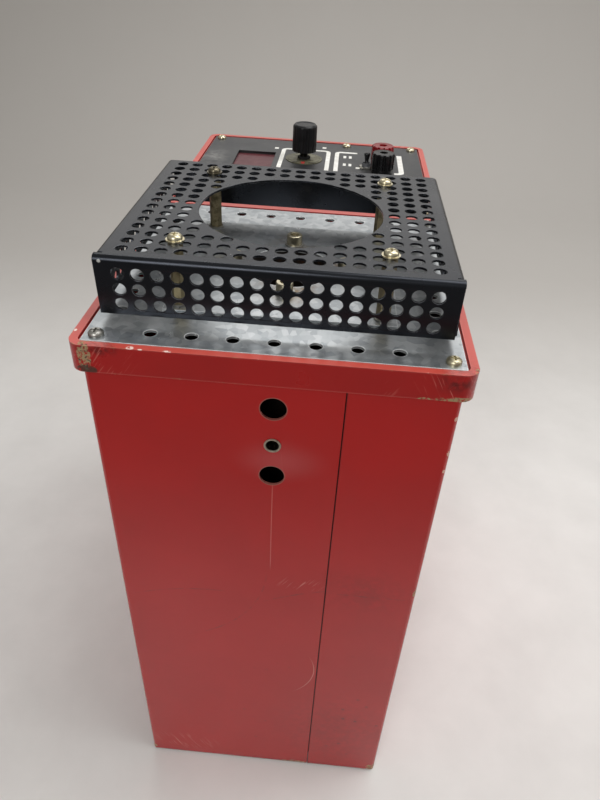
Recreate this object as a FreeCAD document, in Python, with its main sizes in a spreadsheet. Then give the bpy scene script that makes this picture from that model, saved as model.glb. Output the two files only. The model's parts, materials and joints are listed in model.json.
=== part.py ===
import FreeCAD, Part
import math
import os
from types import SimpleNamespace

import Sketcher
from FreeCAD import Placement, Rotation, Vector

# Bench tester with a heated well: a tall sheet-steel case whose top carries a perforated guard over
# the well at one end and a control panel at the other. Millimetres, +Z up, the floor at z = 0 and
# the case centred on x = y = 0. The well end faces -Y.

DOC = FreeCAD.newDocument("bench_tester")
SHEET = DOC.addObject("Spreadsheet::Sheet", "sizes")
PIECES = []

# Driving sizes in millimetres, with angles in degrees and counts as plain numbers
SIZES = {
    # case, rim and base
    "rim_width": 207.0,
    "rim_length": 396.0,
    "case_height": 430.0,
    "rim_drop": 16.0,
    "rim_wall": 4.5,
    "rim_corner": 8.0,
    "case_sheet": 1.5,
    "case_corner": 3.0,
    "fit_gap": 0.3,
    "lay_gap": 0.2,
    "hole_gap": 0.1,
    "run_gap": 0.05,
    "cut_past": 1.0,
    "seam_offset": 39.0,
    "seam_gap": 0.6,
    "strip_width": 24.0,
    "strip_sheet": 1.5,
    "tray_flange": 15.0,
    "foot_proud": 2.0,
    "foot_width": 16.0,
    "foot_sole": 14.0,
    "foot_edge": 1.0,
    "foot_neck": 6.0,
    "foot_head": 9.0,
    "foot_head_rise": 4.5,
    "foot_tip": 4.8,
    "foot_inset": 22.0,
    # frame that carries the two top plates
    "plate_sheet": 1.5,
    "panel_recess": 0.5,
    "panel_gap": 1.2,
    "ledge_sheet": 2.5,
    "ledge_reach": 7.0,
    "tab_reach": 16.0,
    "tab_width": 14.0,
    "hot_length": 199.0,
    "rail_width": 7.0,
    "rail_flange": 6.0,
    "screw_margin": 6.5,
    "screw_shank": 4.0,
    "screw_head": 8.0,
    "screw_head_rise": 2.8,
    "screw_head_side": 1.3,
    "screw_shoulder": 6.7,
    "screw_shoulder_rise": 2.1,
    "screw_crown": 4.2,
    "screw_length": 8.0,
    "recess_length": 4.6,
    "recess_width": 1.1,
    "recess_depth": 1.4,
    "mid_screw_offset": 30.0,
    # holes in the end wall
    "end_hole": 14.4,
    "end_hole_offset": 1.5,
    "end_hole_drop": 34.0,
    "end_hole_spacing": 48.0,
    "insert_drop": 59.0,
    "insert_bore": 6.65,
    "insert_barrel": 9.0,
    "insert_flange": 9.6,
    "insert_flange_rise": 0.6,
    "insert_chamfer": 0.5,
    "insert_length": 12.0,
    # deck plate
    "vent_hole": 7.0,
    "vent_pitch": 21.5,
    "vent_count": 7,
    "vent_margin": 11.5,
    # perforated guard
    "guard_rise": 38.0,
    "guard_sheet": 1.2,
    "guard_hole": 6.9,
    "guard_pitch": 10.0,
    "guard_columns": 17,
    "guard_rows": 15,
    "wall_rows": 3,
    "guard_side_margin": 11.8,
    "guard_front_margin": 11.5,
    "guard_rear_margin": 9.5,
    "guard_lean": 2.6,
    "guard_flare": 3.0,
    "guard_drop": 32.5,
    "guard_rear_drop": 28.0,
    "guard_bend": 3.0,
    "guard_slit": 1.2,
    "wall_row_drop": 9.0,
    "wall_row_spacing": 8.7,
    "guard_mouth": 107.2,
    "mouth_shift": 1.4,
    "mouth_land": 4.4,
    # guard posts
    "post_spacing": 112.0,
    "post_flats": 7.0,
    "post_washer": 10.0,
    "washer_sheet": 1.0,
    "guard_screw_flange": 10.0,
    "guard_screw_flange_rise": 0.9,
    # well
    "flange_side": 128.0,
    "flange_sheet": 2.0,
    "well_bore": 54.0,
    "well_wall": 2.5,
    "well_depth": 225.0,
    "well_floor": 5.0,
    "bolt_circle": 69.0,
    "bolt_shank": 6.0,
    "bolt_head": 10.0,
    "bolt_head_rise": 6.0,
    "bolt_head_chamfer": 0.4,
    "bolt_key": 5.0,
    "bolt_key_depth": 3.0,
    "bolt_tip_gap": 0.5,
    "bolt_washer": 12.4,
    "ring_width": 84.0,
    "ring_height": 8.0,
    "heater_wall": 4.0,
    "heater_height": 85.0,
    "heater_space": 14.0,
    "heater_drop": 24.0,
    "jacket_width": 124.0,
    "jacket_floor": 18.0,
    "can_sheet": 1.2,
    "can_lip": 8.0,
    "probe_width": 4.0,
    "probe_head": 12.0,
    "probe_head_length": 18.0,
    # control panel
    "window_width": 34.5,
    "window_length": 60.0,
    "window_side_margin": 28.5,
    "window_rear_margin": 40.8,
    "bezel_wall": 3.0,
    "bezel_height": 1.0,
    "lens_sheet": 2.0,
    "module_height": 12.0,
    "knob_offset": 8.0,
    "knob_rear_margin": 55.3,
    "knob_width": 21.6,
    "knob_top_width": 21.2,
    "knob_height": 22.7,
    "knob_edge": 1.6,
    "knob_dish": 0.6,
    "knob_dish_rim": 3.0,
    "knob_bore_height": 17.0,
    "knob_flutes": 16,
    "knob_flute_width": 2.8,
    "knob_flute_depth": 0.4,
    "knob_clearance": 6.9,
    "dial_width": 33.0,
    "dial_sheet": 0.6,
    "pot_width": 24.0,
    "pot_height": 14.0,
    "pot_bush": 7.0,
    "pot_bush_rise": 5.5,
    "pot_shaft": 6.0,
    "pot_shaft_depth": 8.0,
    "pot_nut": 10.0,
    "pot_nut_height": 2.2,
    "terminal_side_margin": 35.8,
    "terminal_rear_margin": 57.3,
    "terminal_spacing": 22.5,
    "collar_width": 18.5,
    "collar_height": 4.0,
    "collar_spigot": 9.0,
    "stud_width": 6.0,
    "stud_rise": 15.0,
    "stud_tail": 14.0,
    "plug_bore": 4.0,
    "plug_depth": 12.0,
    "cap_width": 19.5,
    "cap_height": 12.8,
    "cap_edge": 1.0,
    "cap_flutes": 12,
    "cap_flute_width": 2.4,
    "cap_flute_start": 4.0,
    "cap_mouth": 6.8,
    "insert_wall": 2.0,
    "insert_height": 8.0,
    "nut_flats": 10.0,
    "nut_height": 4.0,
    "toggle_side_margin": 49.4,
    "toggle_rear_margin": 69.6,
    "toggle_body_width": 11.0,
    "toggle_body_length": 16.0,
    "toggle_body_height": 15.0,
    "toggle_bush": 8.0,
    "toggle_bush_rise": 4.5,
    "toggle_bush_bore": 6.0,
    "toggle_nut": 11.0,
    "toggle_nut_height": 2.0,
    "toggle_pivot": 2.0,
    "toggle_ball": 5.5,
    "toggle_stem": 3.2,
    "toggle_tip": 5.6,
    "toggle_reach": 11.0,
    "toggle_neck_reach": 4.4,
    "toggle_round": 1.2,
    "toggle_lean": 12.0,
    # inside the control half
    "partition_sheet": 1.5,
    "partition_port_width": 120.0,
    "partition_port_height": 40.0,
    "port_foot_height": 30.0,
    "fan_side": 80.0,
    "fan_depth": 25.0,
    "fan_bore": 76.0,
    "fan_corner": 4.0,
    "fan_hole_spacing": 71.5,
    "fan_hub": 30.0,
    "fan_boss_height": 5.0,
    "fan_bush": 8.0,
    "fan_bush_length": 12.0,
    "fan_shaft": 3.0,
    "fan_cup_wall": 2.0,
    "fan_cup_height": 16.0,
    "fan_run_gap": 1.0,
    "fan_strut": 2.5,
    "fan_blades": 7,
    "fan_blade_sheet": 1.6,
    "fan_blade_chord": 17.0,
    "fan_blade_pitch": 35.0,
    "fan_tip_gap": 2.0,
    "fan_side_margin": 68.7,
    "fan_axis_height": 80.0,
    "fan_screw_length": 12.0,
    "grille_hole": 6.0,
    "grille_pitch": 11.0,
    "grille_rings": 3,
    "inlet_side_margin": 30.7,
    "inlet_axis_height": 60.0,
    "inlet_width": 27.0,
    "inlet_height": 20.0,
    "inlet_depth": 22.0,
    "inlet_flange_width": 34.0,
    "inlet_flange_height": 26.0,
    "inlet_flange_rise": 3.0,
    "inlet_wall": 2.0,
    "inlet_socket_depth": 14.0,
    "pin_width": 2.0,
    "pin_height": 4.0,
    "pin_length": 11.0,
    "pin_tail": 6.0,
    "pin_spacing": 7.0,
    "board_width": 150.0,
    "board_height": 120.0,
    "board_sheet": 1.6,
    "board_foot_height": 180.0,
    "board_hole_margin": 6.0,
    "standoff_width": 6.0,
    "standoff_length": 10.0,
    "relay_width": 28.0,
    "relay_height": 20.0,
    "relay_depth": 16.0,
    "block_width": 60.0,
    "block_height": 12.0,
    "block_depth": 14.0,
    "capacitor_width": 18.0,
    "capacitor_length": 30.0,
    "core_width": 76.0,
    "core_depth": 40.0,
    "core_height": 64.0,
    "core_leg": 25.0,
    "core_yoke": 13.0,
    "core_side_margin": 58.7,
    "core_rear_margin": 103.2,
    "coil_proud": 11.0,
    "clamp_sheet": 1.2,
    "clamp_width": 20.0,
    "clamp_foot": 14.0,
}


class Size:
    """A size as a number, with the sheet expression that gives it."""

    def __init__(self, text, value):
        self.text = text
        self.value = value

    def __add__(self, other):
        other = as_size(other)
        return Size(f"({self.text} + {other.text})", self.value + other.value)

    def __sub__(self, other):
        other = as_size(other)
        return Size(f"({self.text} - {other.text})", self.value - other.value)

    def __mul__(self, other):
        other = as_size(other)
        return Size(f"({self.text} * {other.text})", self.value * other.value)

    def __truediv__(self, other):
        other = as_size(other)
        return Size(f"({self.text} / {other.text})", self.value / other.value)

    def __neg__(self):
        return Size(f"(0 - {self.text})", -self.value)

    def __radd__(self, other):
        return as_size(other) + self

    def __rmul__(self, other):
        return as_size(other) * self

    def times(self):
        """The size as a whole number of copies."""
        return int(round(self.value))


def as_size(item):
    """Wraps a plain number, so that it joins in with the named sizes."""
    if isinstance(item, Size):
        return item
    return Size(repr(float(item)), float(item))


def load_sizes():
    """Fills the sheet and returns its sizes by name."""
    for row, (alias, number) in enumerate(SIZES.items(), start=1):
        SHEET.set(f"A{row}", alias)
        SHEET.set(f"B{row}", str(number))
        SHEET.setAlias(f"B{row}", alias)
    DOC.recompute()
    return SimpleNamespace(**{alias: Size(f"sizes.{alias}", float(SHEET.get(alias))) for alias in SIZES})


S = load_sizes()

# Half sizes of the rim, of the space inside it and of the case below it
RIM_X = S.rim_width / 2
RIM_Y = S.rim_length / 2
INNER_X = RIM_X - S.rim_wall
INNER_Y = RIM_Y - S.rim_wall
CASE_X = INNER_X - S.fit_gap
CASE_Y = INNER_Y - S.fit_gap
CASE_IN_X = CASE_X - S.case_sheet
CASE_IN_Y = CASE_Y - S.case_sheet

# Levels, from the top down
PLATE_TOP = S.case_height - S.panel_recess
PLATE_UNDER = PLATE_TOP - S.plate_sheet
LEDGE_UNDER = PLATE_UNDER - S.ledge_sheet
FLOOR_TOP = S.foot_proud + S.case_sheet
FLANGE_TOP = PLATE_TOP + S.flange_sheet
GUARD_TOP = S.case_height + S.guard_rise
GUARD_UNDER = GUARD_TOP - S.guard_sheet

# The two plates and the rail between them
PLATE_X = INNER_X - S.panel_gap
DECK_FRONT = -INNER_Y + S.panel_gap
RAIL_FRONT = -INNER_Y + S.hot_length
RAIL_REAR = RAIL_FRONT + S.rail_width
DECK_REAR = RAIL_FRONT - S.panel_gap
PANEL_FRONT = RAIL_REAR + S.panel_gap
PANEL_REAR = INNER_Y - S.panel_gap
WELL_Y = (DECK_FRONT + DECK_REAR) / 2
SCREW_X = PLATE_X - S.screw_margin
DECK_SCREWS = [(x, y) for x in (-SCREW_X, SCREW_X)
               for y in (DECK_FRONT + S.screw_margin, DECK_REAR - S.screw_margin)]
PANEL_CORNERS = [(x, y) for x in (-SCREW_X, SCREW_X)
                 for y in (PANEL_FRONT + S.screw_margin, PANEL_REAR - S.screw_margin)]
MID_SCREW = (S.mid_screw_offset, PANEL_REAR - S.screw_margin)
PANEL_SCREWS = PANEL_CORNERS + [MID_SCREW]
POSTS = [(x, WELL_Y + y) for x in (-(S.post_spacing / 2), S.post_spacing / 2)
         for y in (-(S.post_spacing / 2), S.post_spacing / 2)]
BOLTS = [(as_size(0), WELL_Y - S.bolt_circle / 2), (as_size(0), WELL_Y + S.bolt_circle / 2),
         (-(S.bolt_circle / 2), WELL_Y), (S.bolt_circle / 2, WELL_Y)]
TERMINAL_X = PLATE_X - S.terminal_side_margin
TERMINAL_Y = PANEL_REAR - S.terminal_rear_margin
TERMINALS = {"red": (TERMINAL_X, TERMINAL_Y), "black": (TERMINAL_X, TERMINAL_Y - S.terminal_spacing)}
KNOB_X = -S.knob_offset
KNOB_Y = PANEL_REAR - S.knob_rear_margin
TOGGLE_X = PLATE_X - S.toggle_side_margin
TOGGLE_Y = PANEL_REAR - S.toggle_rear_margin

# The fan and the inlet in the rear wall, and the transformer inside
FAN_X = S.fan_side_margin - CASE_X
FAN_Z = S.fan_axis_height
INLET_X = CASE_X - S.inlet_side_margin
INLET_Z = S.inlet_axis_height
CORE_X = CASE_X - S.core_side_margin
CORE_Y = CASE_Y - S.core_rear_margin

# Turns that lay a local +Z along the outward normal of the front and rear walls
TO_FRONT = Rotation(Vector(1, 0, 0), 90)
TO_REAR = Rotation(Vector(1, 0, 0), -90)


def move(item, x, y, z, turn=None):
    """Binds an object's place to the sheet, after an optional fixed turn."""
    if turn is not None:
        item.Placement = Placement(Vector(), turn)
    for axis, size in zip("xyz", (x, y, z)):
        item.setExpression(f"Placement.Base.{axis}", as_size(size).text)
    return item


def box(name, x, y, z):
    """A block between the low and high ends given along each axis."""
    item = DOC.addObject("Part::Box", name)
    for side, (low, high) in zip(("Length", "Width", "Height"), (x, y, z)):
        item.setExpression(side, (as_size(high) - low).text)
    return move(item, x[0], y[0], z[0])


def rod(name, width, length, x, y, z, turn=None):
    """A round bar of the given diameter, upwards from a point unless it is turned."""
    item = DOC.addObject("Part::Cylinder", name)
    item.setExpression("Radius", (width / 2).text)
    item.setExpression("Height", as_size(length).text)
    return move(item, x, y, z, turn)


def hexagon(name, flats, height):
    """A hexagonal bar at the origin, with its size given across the flats."""
    item = DOC.addObject("Part::Prism", name)
    item.Polygon = 6
    item.setExpression("Circumradius", f"{flats.text} / sqrt(3)")
    item.setExpression("Height", height.text)
    return item


def group(name, members):
    """Several separate solids as one object."""
    item = DOC.addObject("Part::Compound", name)
    item.Links = members
    return item


def fuse(name, members):
    """One solid made of overlapping or touching ones."""
    item = DOC.addObject("Part::MultiFuse", name)
    item.Shapes = members
    item.Refine = True
    return item


def cut(name, base, tools):
    """A solid with separate tools taken out of it."""
    item = DOC.addObject("Part::Cut", name)
    item.Base = base
    item.Tool = tools[0] if len(tools) == 1 else group(f"{name}_tools", tools)
    return item


def common(name, first, second):
    """What two solids share."""
    item = DOC.addObject("Part::Common", name)
    item.Base = first
    item.Tool = second
    return item


def repeat(name, prototype, places, turn=None):
    """Copies of one piece at several places, as one object."""
    copies = []
    for number, (x, y, z) in enumerate(places, start=1):
        copy = DOC.addObject("App::Link", f"{name}_{number}")
        copy.LinkedObject = prototype
        copies.append(move(copy, x, y, z, turn))
    return group(name, copies)


def keep(item, label):
    """Names a finished piece, so that it is checked and written."""
    item.Label = label
    PIECES.append(item)
    return item


def sketch_on(body, name, role):
    """A sketch on one of the body's own origin planes."""
    sketch = body.newObject("Sketcher::SketchObject", name)
    plane = [item for item in body.Origin.OriginFeatures if item.Role == role][0]
    sketch.AttachmentSupport = (plane, [""])
    sketch.MapMode = "FlatFace"
    return sketch


def pin(sketch, line, end, x, y):
    """Fixes a sketch point by its distances from the sketch's origin."""
    for kind, axis_line, size in (("DistanceX", -2, as_size(x)), ("DistanceY", -1, as_size(y))):
        if size.value == 0:
            sketch.addConstraint(Sketcher.Constraint("PointOnObject", line, end, axis_line))
            continue
        number = sketch.addConstraint(Sketcher.Constraint(kind, -1, 1, line, end, size.value))
        sketch.setExpression(f"Constraints[{number}]", size.text)


def draw_outline(sketch, points):
    """Draws a closed outline of straight lines through the given points."""
    points = [(as_size(x), as_size(y)) for x, y in points]
    first = sketch.GeometryCount
    count = len(points)
    for number, (x, y) in enumerate(points):
        end_x, end_y = points[(number + 1) % count]
        line = Part.LineSegment(Vector(x.value, y.value, 0), Vector(end_x.value, end_y.value, 0))
        sketch.addGeometry(line, False)
    for number, (x, y) in enumerate(points):
        following = first + (number + 1) % count
        sketch.addConstraint(Sketcher.Constraint("Coincident", first + number, 2, following, 1))
        pin(sketch, first + number, 1, x, y)


def draw_circle(sketch, width, x, y):
    """Draws a circle of the given diameter."""
    x = as_size(x)
    y = as_size(y)
    circle = Part.Circle(Vector(x.value, y.value, 0), Vector(0, 0, 1), width.value / 2)
    line = sketch.addGeometry(circle, False)
    pin(sketch, line, 3, x, y)
    number = sketch.addConstraint(Sketcher.Constraint("Diameter", line, width.value))
    sketch.setExpression(f"Constraints[{number}]", width.text)


def plate(name, length, width, height):
    """A rectangular body with one corner at its own origin."""
    body = DOC.addObject("PartDesign::Body", name)
    sketch = sketch_on(body, f"{name}_outline", "XY_Plane")
    draw_outline(sketch, [(0, 0), (length, 0), (length, width), (0, width)])
    pad = body.newObject("PartDesign::Pad", f"{name}_pad")
    pad.Profile = sketch
    pad.setExpression("Length", height.text)
    return body


def cut_through(body, sketch):
    """Cuts a sketch on the body's base right up through it."""
    DOC.recompute()
    before = body.Shape.Volume
    pocket = body.newObject("PartDesign::Pocket", f"{sketch.Name}_cut")
    pocket.Profile = sketch
    pocket.Type = "ThroughAll"
    pocket.Reversed = True
    DOC.recompute()
    if body.Shape.Volume >= before:
        raise RuntimeError(f"{sketch.Name} cut nothing")


def drill(body, holes):
    """Cuts round holes, each a diameter and a place on the body's base, right through a body."""
    sketch = sketch_on(body, f"{body.Name}_holes", "XY_Plane")
    for width, x, y in holes:
        draw_circle(sketch, width, x, y)
    cut_through(body, sketch)


def round_corners(body, radius):
    """Rounds the upright edges of a body."""
    DOC.recompute()
    base = body.Tip
    upright = []
    for number, edge in enumerate(base.Shape.Edges, start=1):
        ends = [vertex.Point for vertex in edge.Vertexes]
        if (ends[0] - ends[1]).normalize().cross(Vector(0, 0, 1)).Length < 1e-6:
            upright.append(f"Edge{number}")
    fillet = body.newObject("PartDesign::Fillet", f"{body.Name}_corners")
    fillet.Base = (base, upright)
    fillet.setExpression("Radius", radius.text)


def block(name, x, y, z, corner):
    """A block between the low and high ends given along each axis, with rounded upright edges."""
    spans = [as_size(high) - low for low, high in (x, y, z)]
    body = plate(name, *spans)
    round_corners(body, corner)
    return move(body, x[0], y[0], z[0])


def turned(name, outline):
    """A body turned about its own Z axis from an outline of radius and height."""
    body = DOC.addObject("PartDesign::Body", name)
    sketch = sketch_on(body, f"{name}_outline", "XZ_Plane")
    draw_outline(sketch, outline)
    turning = body.newObject("PartDesign::Revolution", f"{name}_turning")
    turning.Profile = sketch
    turning.ReferenceAxis = (sketch, ["V_Axis"])
    turning.Angle = 360
    return body


def tube(name, outer, inner, height):
    """A turned tube or washer, with its sizes given as diameters."""
    return turned(name, [(inner / 2, 0), (outer / 2, 0), (outer / 2, height), (inner / 2, height)])


def around(count, radius, start=0.0):
    """Evenly spaced points on a circle about the origin."""
    points = []
    for number in range(count):
        angle = start + 360.0 * number / count
        points.append((radius * math.cos(math.radians(angle)), radius * math.sin(math.radians(angle))))
    return points


def pan_screw(name, length, flange=None):
    """A pan-head cross-recess screw with its tip at the origin and an optional flange under the head."""
    shank = S.screw_shank / 2
    head = S.screw_head / 2
    seat = length
    outline = [(0, 0), (shank, 0), (shank, length)]
    if flange is not None:
        width, rise = flange
        seat = length + rise
        outline += [(width / 2, length), (width / 2, seat)]
    top = seat + S.screw_head_rise
    outline += [(head, seat), (head, seat + S.screw_head_side),
                (S.screw_shoulder / 2, seat + S.screw_shoulder_rise), (S.screw_crown / 2, top), (0, top)]
    blank = turned(f"{name}_blank", outline)
    reach = S.recess_length / 2
    width = S.recess_width / 2
    span_z = (top - S.recess_depth, top + S.cut_past)
    slots = [box(f"{name}_slot_x", (-reach, reach), (-width, width), span_z),
             box(f"{name}_slot_y", (-width, width), (-reach, reach), span_z)]
    recess = fuse(f"{name}_recess", slots)
    return cut(name, blank, [recess])


def nut(name, flats, height, bore):
    """A plain hexagonal nut on the origin."""
    return cut(name, hexagon(f"{name}_bar", flats, height), [rod(f"{name}_bore", bore, height, 0, 0, 0)])


# Case
def case_wall():
    """The plain wall of the case, before it is parted at the seams."""
    outer = block("case_outer", (-CASE_X, CASE_X), (-CASE_Y, CASE_Y), (S.foot_proud, LEDGE_UNDER),
                  S.case_corner)
    inner = block("case_inner", (-CASE_IN_X, CASE_IN_X), (-CASE_IN_Y, CASE_IN_Y),
                  (S.foot_proud - S.cut_past, LEDGE_UNDER + S.cut_past), S.case_corner - S.case_sheet)
    return cut("case_wall", outer, [inner])


def grille_places():
    """Hexagonal rings of holes in front of the fan, as x and z."""
    places = [(FAN_X, FAN_Z)]
    for ring in range(1, S.grille_rings.times() + 1):
        for x, z in around(6 * ring, 1.0):
            places.append((FAN_X + S.grille_pitch * ring * x, FAN_Z + S.grille_pitch * ring * z))
    return places


def fan_corners():
    """The fan's screw places, as x and z."""
    half = S.fan_hole_spacing / 2
    return [(FAN_X + x, FAN_Z + z) for x in (-half, half) for z in (-half, half)]


def case_shells(wall):
    """The two bent shells that meet at a seam in each end wall, with the holes in them."""
    seam = S.seam_offset
    full_y = (-CASE_Y - S.cut_past, CASE_Y + S.cut_past)
    full_z = (S.foot_proud, LEDGE_UNDER)
    left_side = box("left_side", (-CASE_X - S.cut_past, seam), full_y, full_z)
    right_side = box("right_side", (seam + S.seam_gap, CASE_X + S.cut_past), full_y, full_z)

    front = -CASE_IN_Y + S.cut_past
    depth = S.case_sheet + 2 * S.cut_past
    upper = S.case_height - S.end_hole_drop
    tools = [rod("end_hole_upper", S.end_hole, depth, S.end_hole_offset, front, upper, TO_FRONT),
             rod("end_hole_lower", S.end_hole, depth, S.end_hole_offset, front, upper - S.end_hole_spacing,
                 TO_FRONT),
             rod("insert_hole", S.insert_barrel + 2 * S.hole_gap, depth, S.end_hole_offset, front,
                 S.case_height - S.insert_drop, TO_FRONT)]
    rear = CASE_IN_Y - S.cut_past
    for number, (x, z) in enumerate(grille_places()):
        tools.append(rod(f"grille_{number}", S.grille_hole, depth, x, rear, z, TO_REAR))
    for number, (x, z) in enumerate(fan_corners()):
        tools.append(rod(f"fan_hole_{number}", S.screw_shank + 2 * S.hole_gap, depth, x, rear, z, TO_REAR))
    keep(cut("left_shell", common("left_blank", wall, left_side), tools), "case_left_shell")

    half_x = S.inlet_width / 2 + S.hole_gap
    half_z = S.inlet_height / 2 + S.hole_gap
    window = box("inlet_window", (INLET_X - half_x, INLET_X + half_x), (rear, CASE_Y + S.cut_past),
                 (INLET_Z - half_z, INLET_Z + half_z))
    keep(cut("right_shell", common("right_blank", wall, right_side), [window]), "case_right_shell")


def seam_strips():
    """Flat strips welded behind the two seams."""
    middle = S.seam_offset + S.seam_gap / 2
    span_x = (middle - S.strip_width / 2, middle + S.strip_width / 2)
    span_z = (FLOOR_TOP + S.tray_flange + S.cut_past, LEDGE_UNDER)
    front = box("front_strip", span_x, (-CASE_IN_Y, -CASE_IN_Y + S.strip_sheet), span_z)
    rear = box("rear_strip", span_x, (CASE_IN_Y - S.strip_sheet, CASE_IN_Y), span_z)
    keep(group("strips", [front, rear]), "seam_strips")


def foot_places():
    """Where the four feet stand."""
    x = CASE_X - S.foot_inset
    y = CASE_Y - S.foot_inset
    return [(-x, -y), (-x, y), (x, -y), (x, y)]


def base_tray():
    """The bottom sheet with its upturned edges, and holes for the feet."""
    half_x = CASE_IN_X - S.lay_gap
    half_y = CASE_IN_Y - S.lay_gap
    corner = S.case_corner - S.case_sheet
    top = FLOOR_TOP + S.tray_flange
    outer = block("tray_outer", (-half_x, half_x), (-half_y, half_y), (S.foot_proud, top), corner)
    inner_x = half_x - S.case_sheet
    inner_y = half_y - S.case_sheet
    inner = box("tray_inner", (-inner_x, inner_x), (-inner_y, inner_y), (FLOOR_TOP, top + S.cut_past))
    tools = [inner]
    hole = S.foot_neck + 2 * S.hole_gap
    for number, (x, y) in enumerate(foot_places()):
        tools.append(rod(f"foot_hole_{number}", hole, S.case_sheet, x, y, S.foot_proud))
    keep(cut("tray", outer, tools), "base_tray")


def rubber_feet():
    """Push-in feet whose heads spread above the tray."""
    neck = S.foot_neck / 2
    head = S.foot_head / 2
    wide = S.foot_width / 2
    top = FLOOR_TOP + S.foot_head_rise
    foot = turned("foot", [(0, 0), (S.foot_sole / 2, 0), (wide, S.foot_edge), (wide, S.foot_proud),
                           (neck, S.foot_proud), (neck, FLOOR_TOP), (head, FLOOR_TOP), (S.foot_tip / 2, top),
                           (0, top)])
    keep(repeat("feet", foot, [(x, y, 0) for x, y in foot_places()]), "rubber_feet")


def rivet_nut():
    """The threaded insert between the two plain holes of the end wall."""
    bore = S.insert_bore / 2
    barrel = S.insert_barrel / 2
    flange = S.insert_flange / 2
    top = S.insert_length + S.insert_flange_rise
    insert = turned("insert", [(bore, 0), (barrel, 0), (barrel, S.insert_length), (flange, S.insert_length),
                               (flange, top), (bore + S.insert_chamfer, top), (bore, top - S.insert_chamfer)])
    move(insert, S.end_hole_offset, -CASE_Y + S.insert_length, S.case_height - S.insert_drop, TO_FRONT)
    keep(insert, "rivet_nut")


# Top frame and plates
def tab(number, x, y):
    """A tab that widens the ledge under a screw near the side walls."""
    reach = INNER_X - S.tab_reach
    span = (reach, INNER_X) if x.value > 0 else (-INNER_X, -reach)
    half = S.tab_width / 2
    return box(f"tab_{number}", span, (y - half, y + half), (LEDGE_UNDER, PLATE_UNDER))


def rim_frame():
    """The collar round the top, with the ledge and tabs that the plates are screwed to."""
    inner_corner = S.rim_corner - S.rim_wall
    outer = block("rim_outer", (-RIM_X, RIM_X), (-RIM_Y, RIM_Y), (S.case_height - S.rim_drop, S.case_height),
                  S.rim_corner)
    inner = block("rim_inner", (-INNER_X, INNER_X), (-INNER_Y, INNER_Y),
                  (S.case_height - S.rim_drop - S.cut_past, S.case_height + S.cut_past), inner_corner)
    collar = cut("rim_collar", outer, [inner])
    ledge_outer = block("ledge_outer", (-INNER_X, INNER_X), (-INNER_Y, INNER_Y), (LEDGE_UNDER, PLATE_UNDER),
                        inner_corner)
    open_x = INNER_X - S.ledge_reach
    open_y = INNER_Y - S.ledge_reach
    ledge_inner = box("ledge_inner", (-open_x, open_x), (-open_y, open_y),
                      (LEDGE_UNDER - S.cut_past, PLATE_UNDER + S.cut_past))
    ledge = cut("ledge", ledge_outer, [ledge_inner])
    corners = DECK_SCREWS + PANEL_CORNERS
    tabs = [common(f"tab_trim_{number}", tab(number, x, y), ledge_outer)
            for number, (x, y) in enumerate(corners)]
    half = S.tab_width / 2
    tabs.append(box("tab_mid", (MID_SCREW[0] - half, MID_SCREW[0] + half),
                    (INNER_Y - S.tab_reach, open_y + S.cut_past), (LEDGE_UNDER, PLATE_UNDER)))
    blank = fuse("rim_blank", [collar, ledge] + tabs)
    holes = [rod(f"rim_hole_{number}", S.screw_shank + 2 * S.hole_gap, S.ledge_sheet, x, y, LEDGE_UNDER)
             for number, (x, y) in enumerate(DECK_SCREWS + PANEL_SCREWS)]
    keep(cut("rim", blank, holes), "rim_frame")


def divider_rail():
    """The cross rail between the two plates, which lies on the ledge at both ends."""
    bar = box("rail_bar", (-INNER_X, INNER_X), (RAIL_FRONT, RAIL_REAR), (PLATE_UNDER, S.case_height))
    reach = INNER_X - S.tab_reach - S.fit_gap
    flange = box("rail_flange_bar", (-reach, reach), (RAIL_FRONT - S.rail_flange, RAIL_REAR + S.rail_flange),
                 (LEDGE_UNDER, PLATE_UNDER))
    keep(fuse("rail", [bar, flange]), "divider_rail")


def vent_places():
    """The vent holes along the four edges of the deck plate, about the well's axis."""
    count = S.vent_count.times()
    along = [S.vent_pitch * (number - (count - 1) / 2) for number in range(count)]
    out_x = PLATE_X - S.vent_margin
    out_y = (DECK_REAR - DECK_FRONT) / 2 - S.vent_margin
    rows = [(step, side * out_y) for side in (-1, 1) for step in along]
    columns = [(side * out_x, step) for side in (-1, 1) for step in along]
    return rows + columns


def deck_plate():
    """The galvanised plate round the well."""
    body = plate("deck", 2 * PLATE_X, DECK_REAR - DECK_FRONT, S.plate_sheet)
    well = S.well_bore + 2 * S.well_wall + 2 * S.fit_gap
    shank = S.screw_shank + 2 * S.hole_gap
    centre_y = WELL_Y - DECK_FRONT
    holes = [(well, PLATE_X, centre_y)]
    holes += [(S.vent_hole, PLATE_X + x, centre_y + y) for x, y in vent_places()]
    holes += [(shank, PLATE_X + x, y - DECK_FRONT) for x, y in DECK_SCREWS + POSTS]
    holes += [(S.bolt_shank + 2 * S.hole_gap, PLATE_X + x, y - DECK_FRONT) for x, y in BOLTS]
    drill(body, holes)
    keep(move(body, -PLATE_X, DECK_FRONT, PLATE_UNDER), "deck_plate")


def plate_screws():
    """The screws of the two top plates."""
    screw = pan_screw("plate_screw", S.screw_length)
    tip = PLATE_TOP - S.screw_length
    keep(repeat("deck_fixings", screw, [(x, y, tip) for x, y in DECK_SCREWS]), "deck_screws")
    keep(repeat("panel_fixings", screw, [(x, y, tip) for x, y in PANEL_SCREWS]), "panel_screws")


# Guard: a flat top with four walls bent down from it, sized to the sharp corners of the bends
def fold_depth(lean):
    """How far a fold line lies inside the sharp corner of a bend that leans inwards by an angle."""
    return S.guard_bend.value * math.tan(math.radians(90.0 + lean) / 2)


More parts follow.
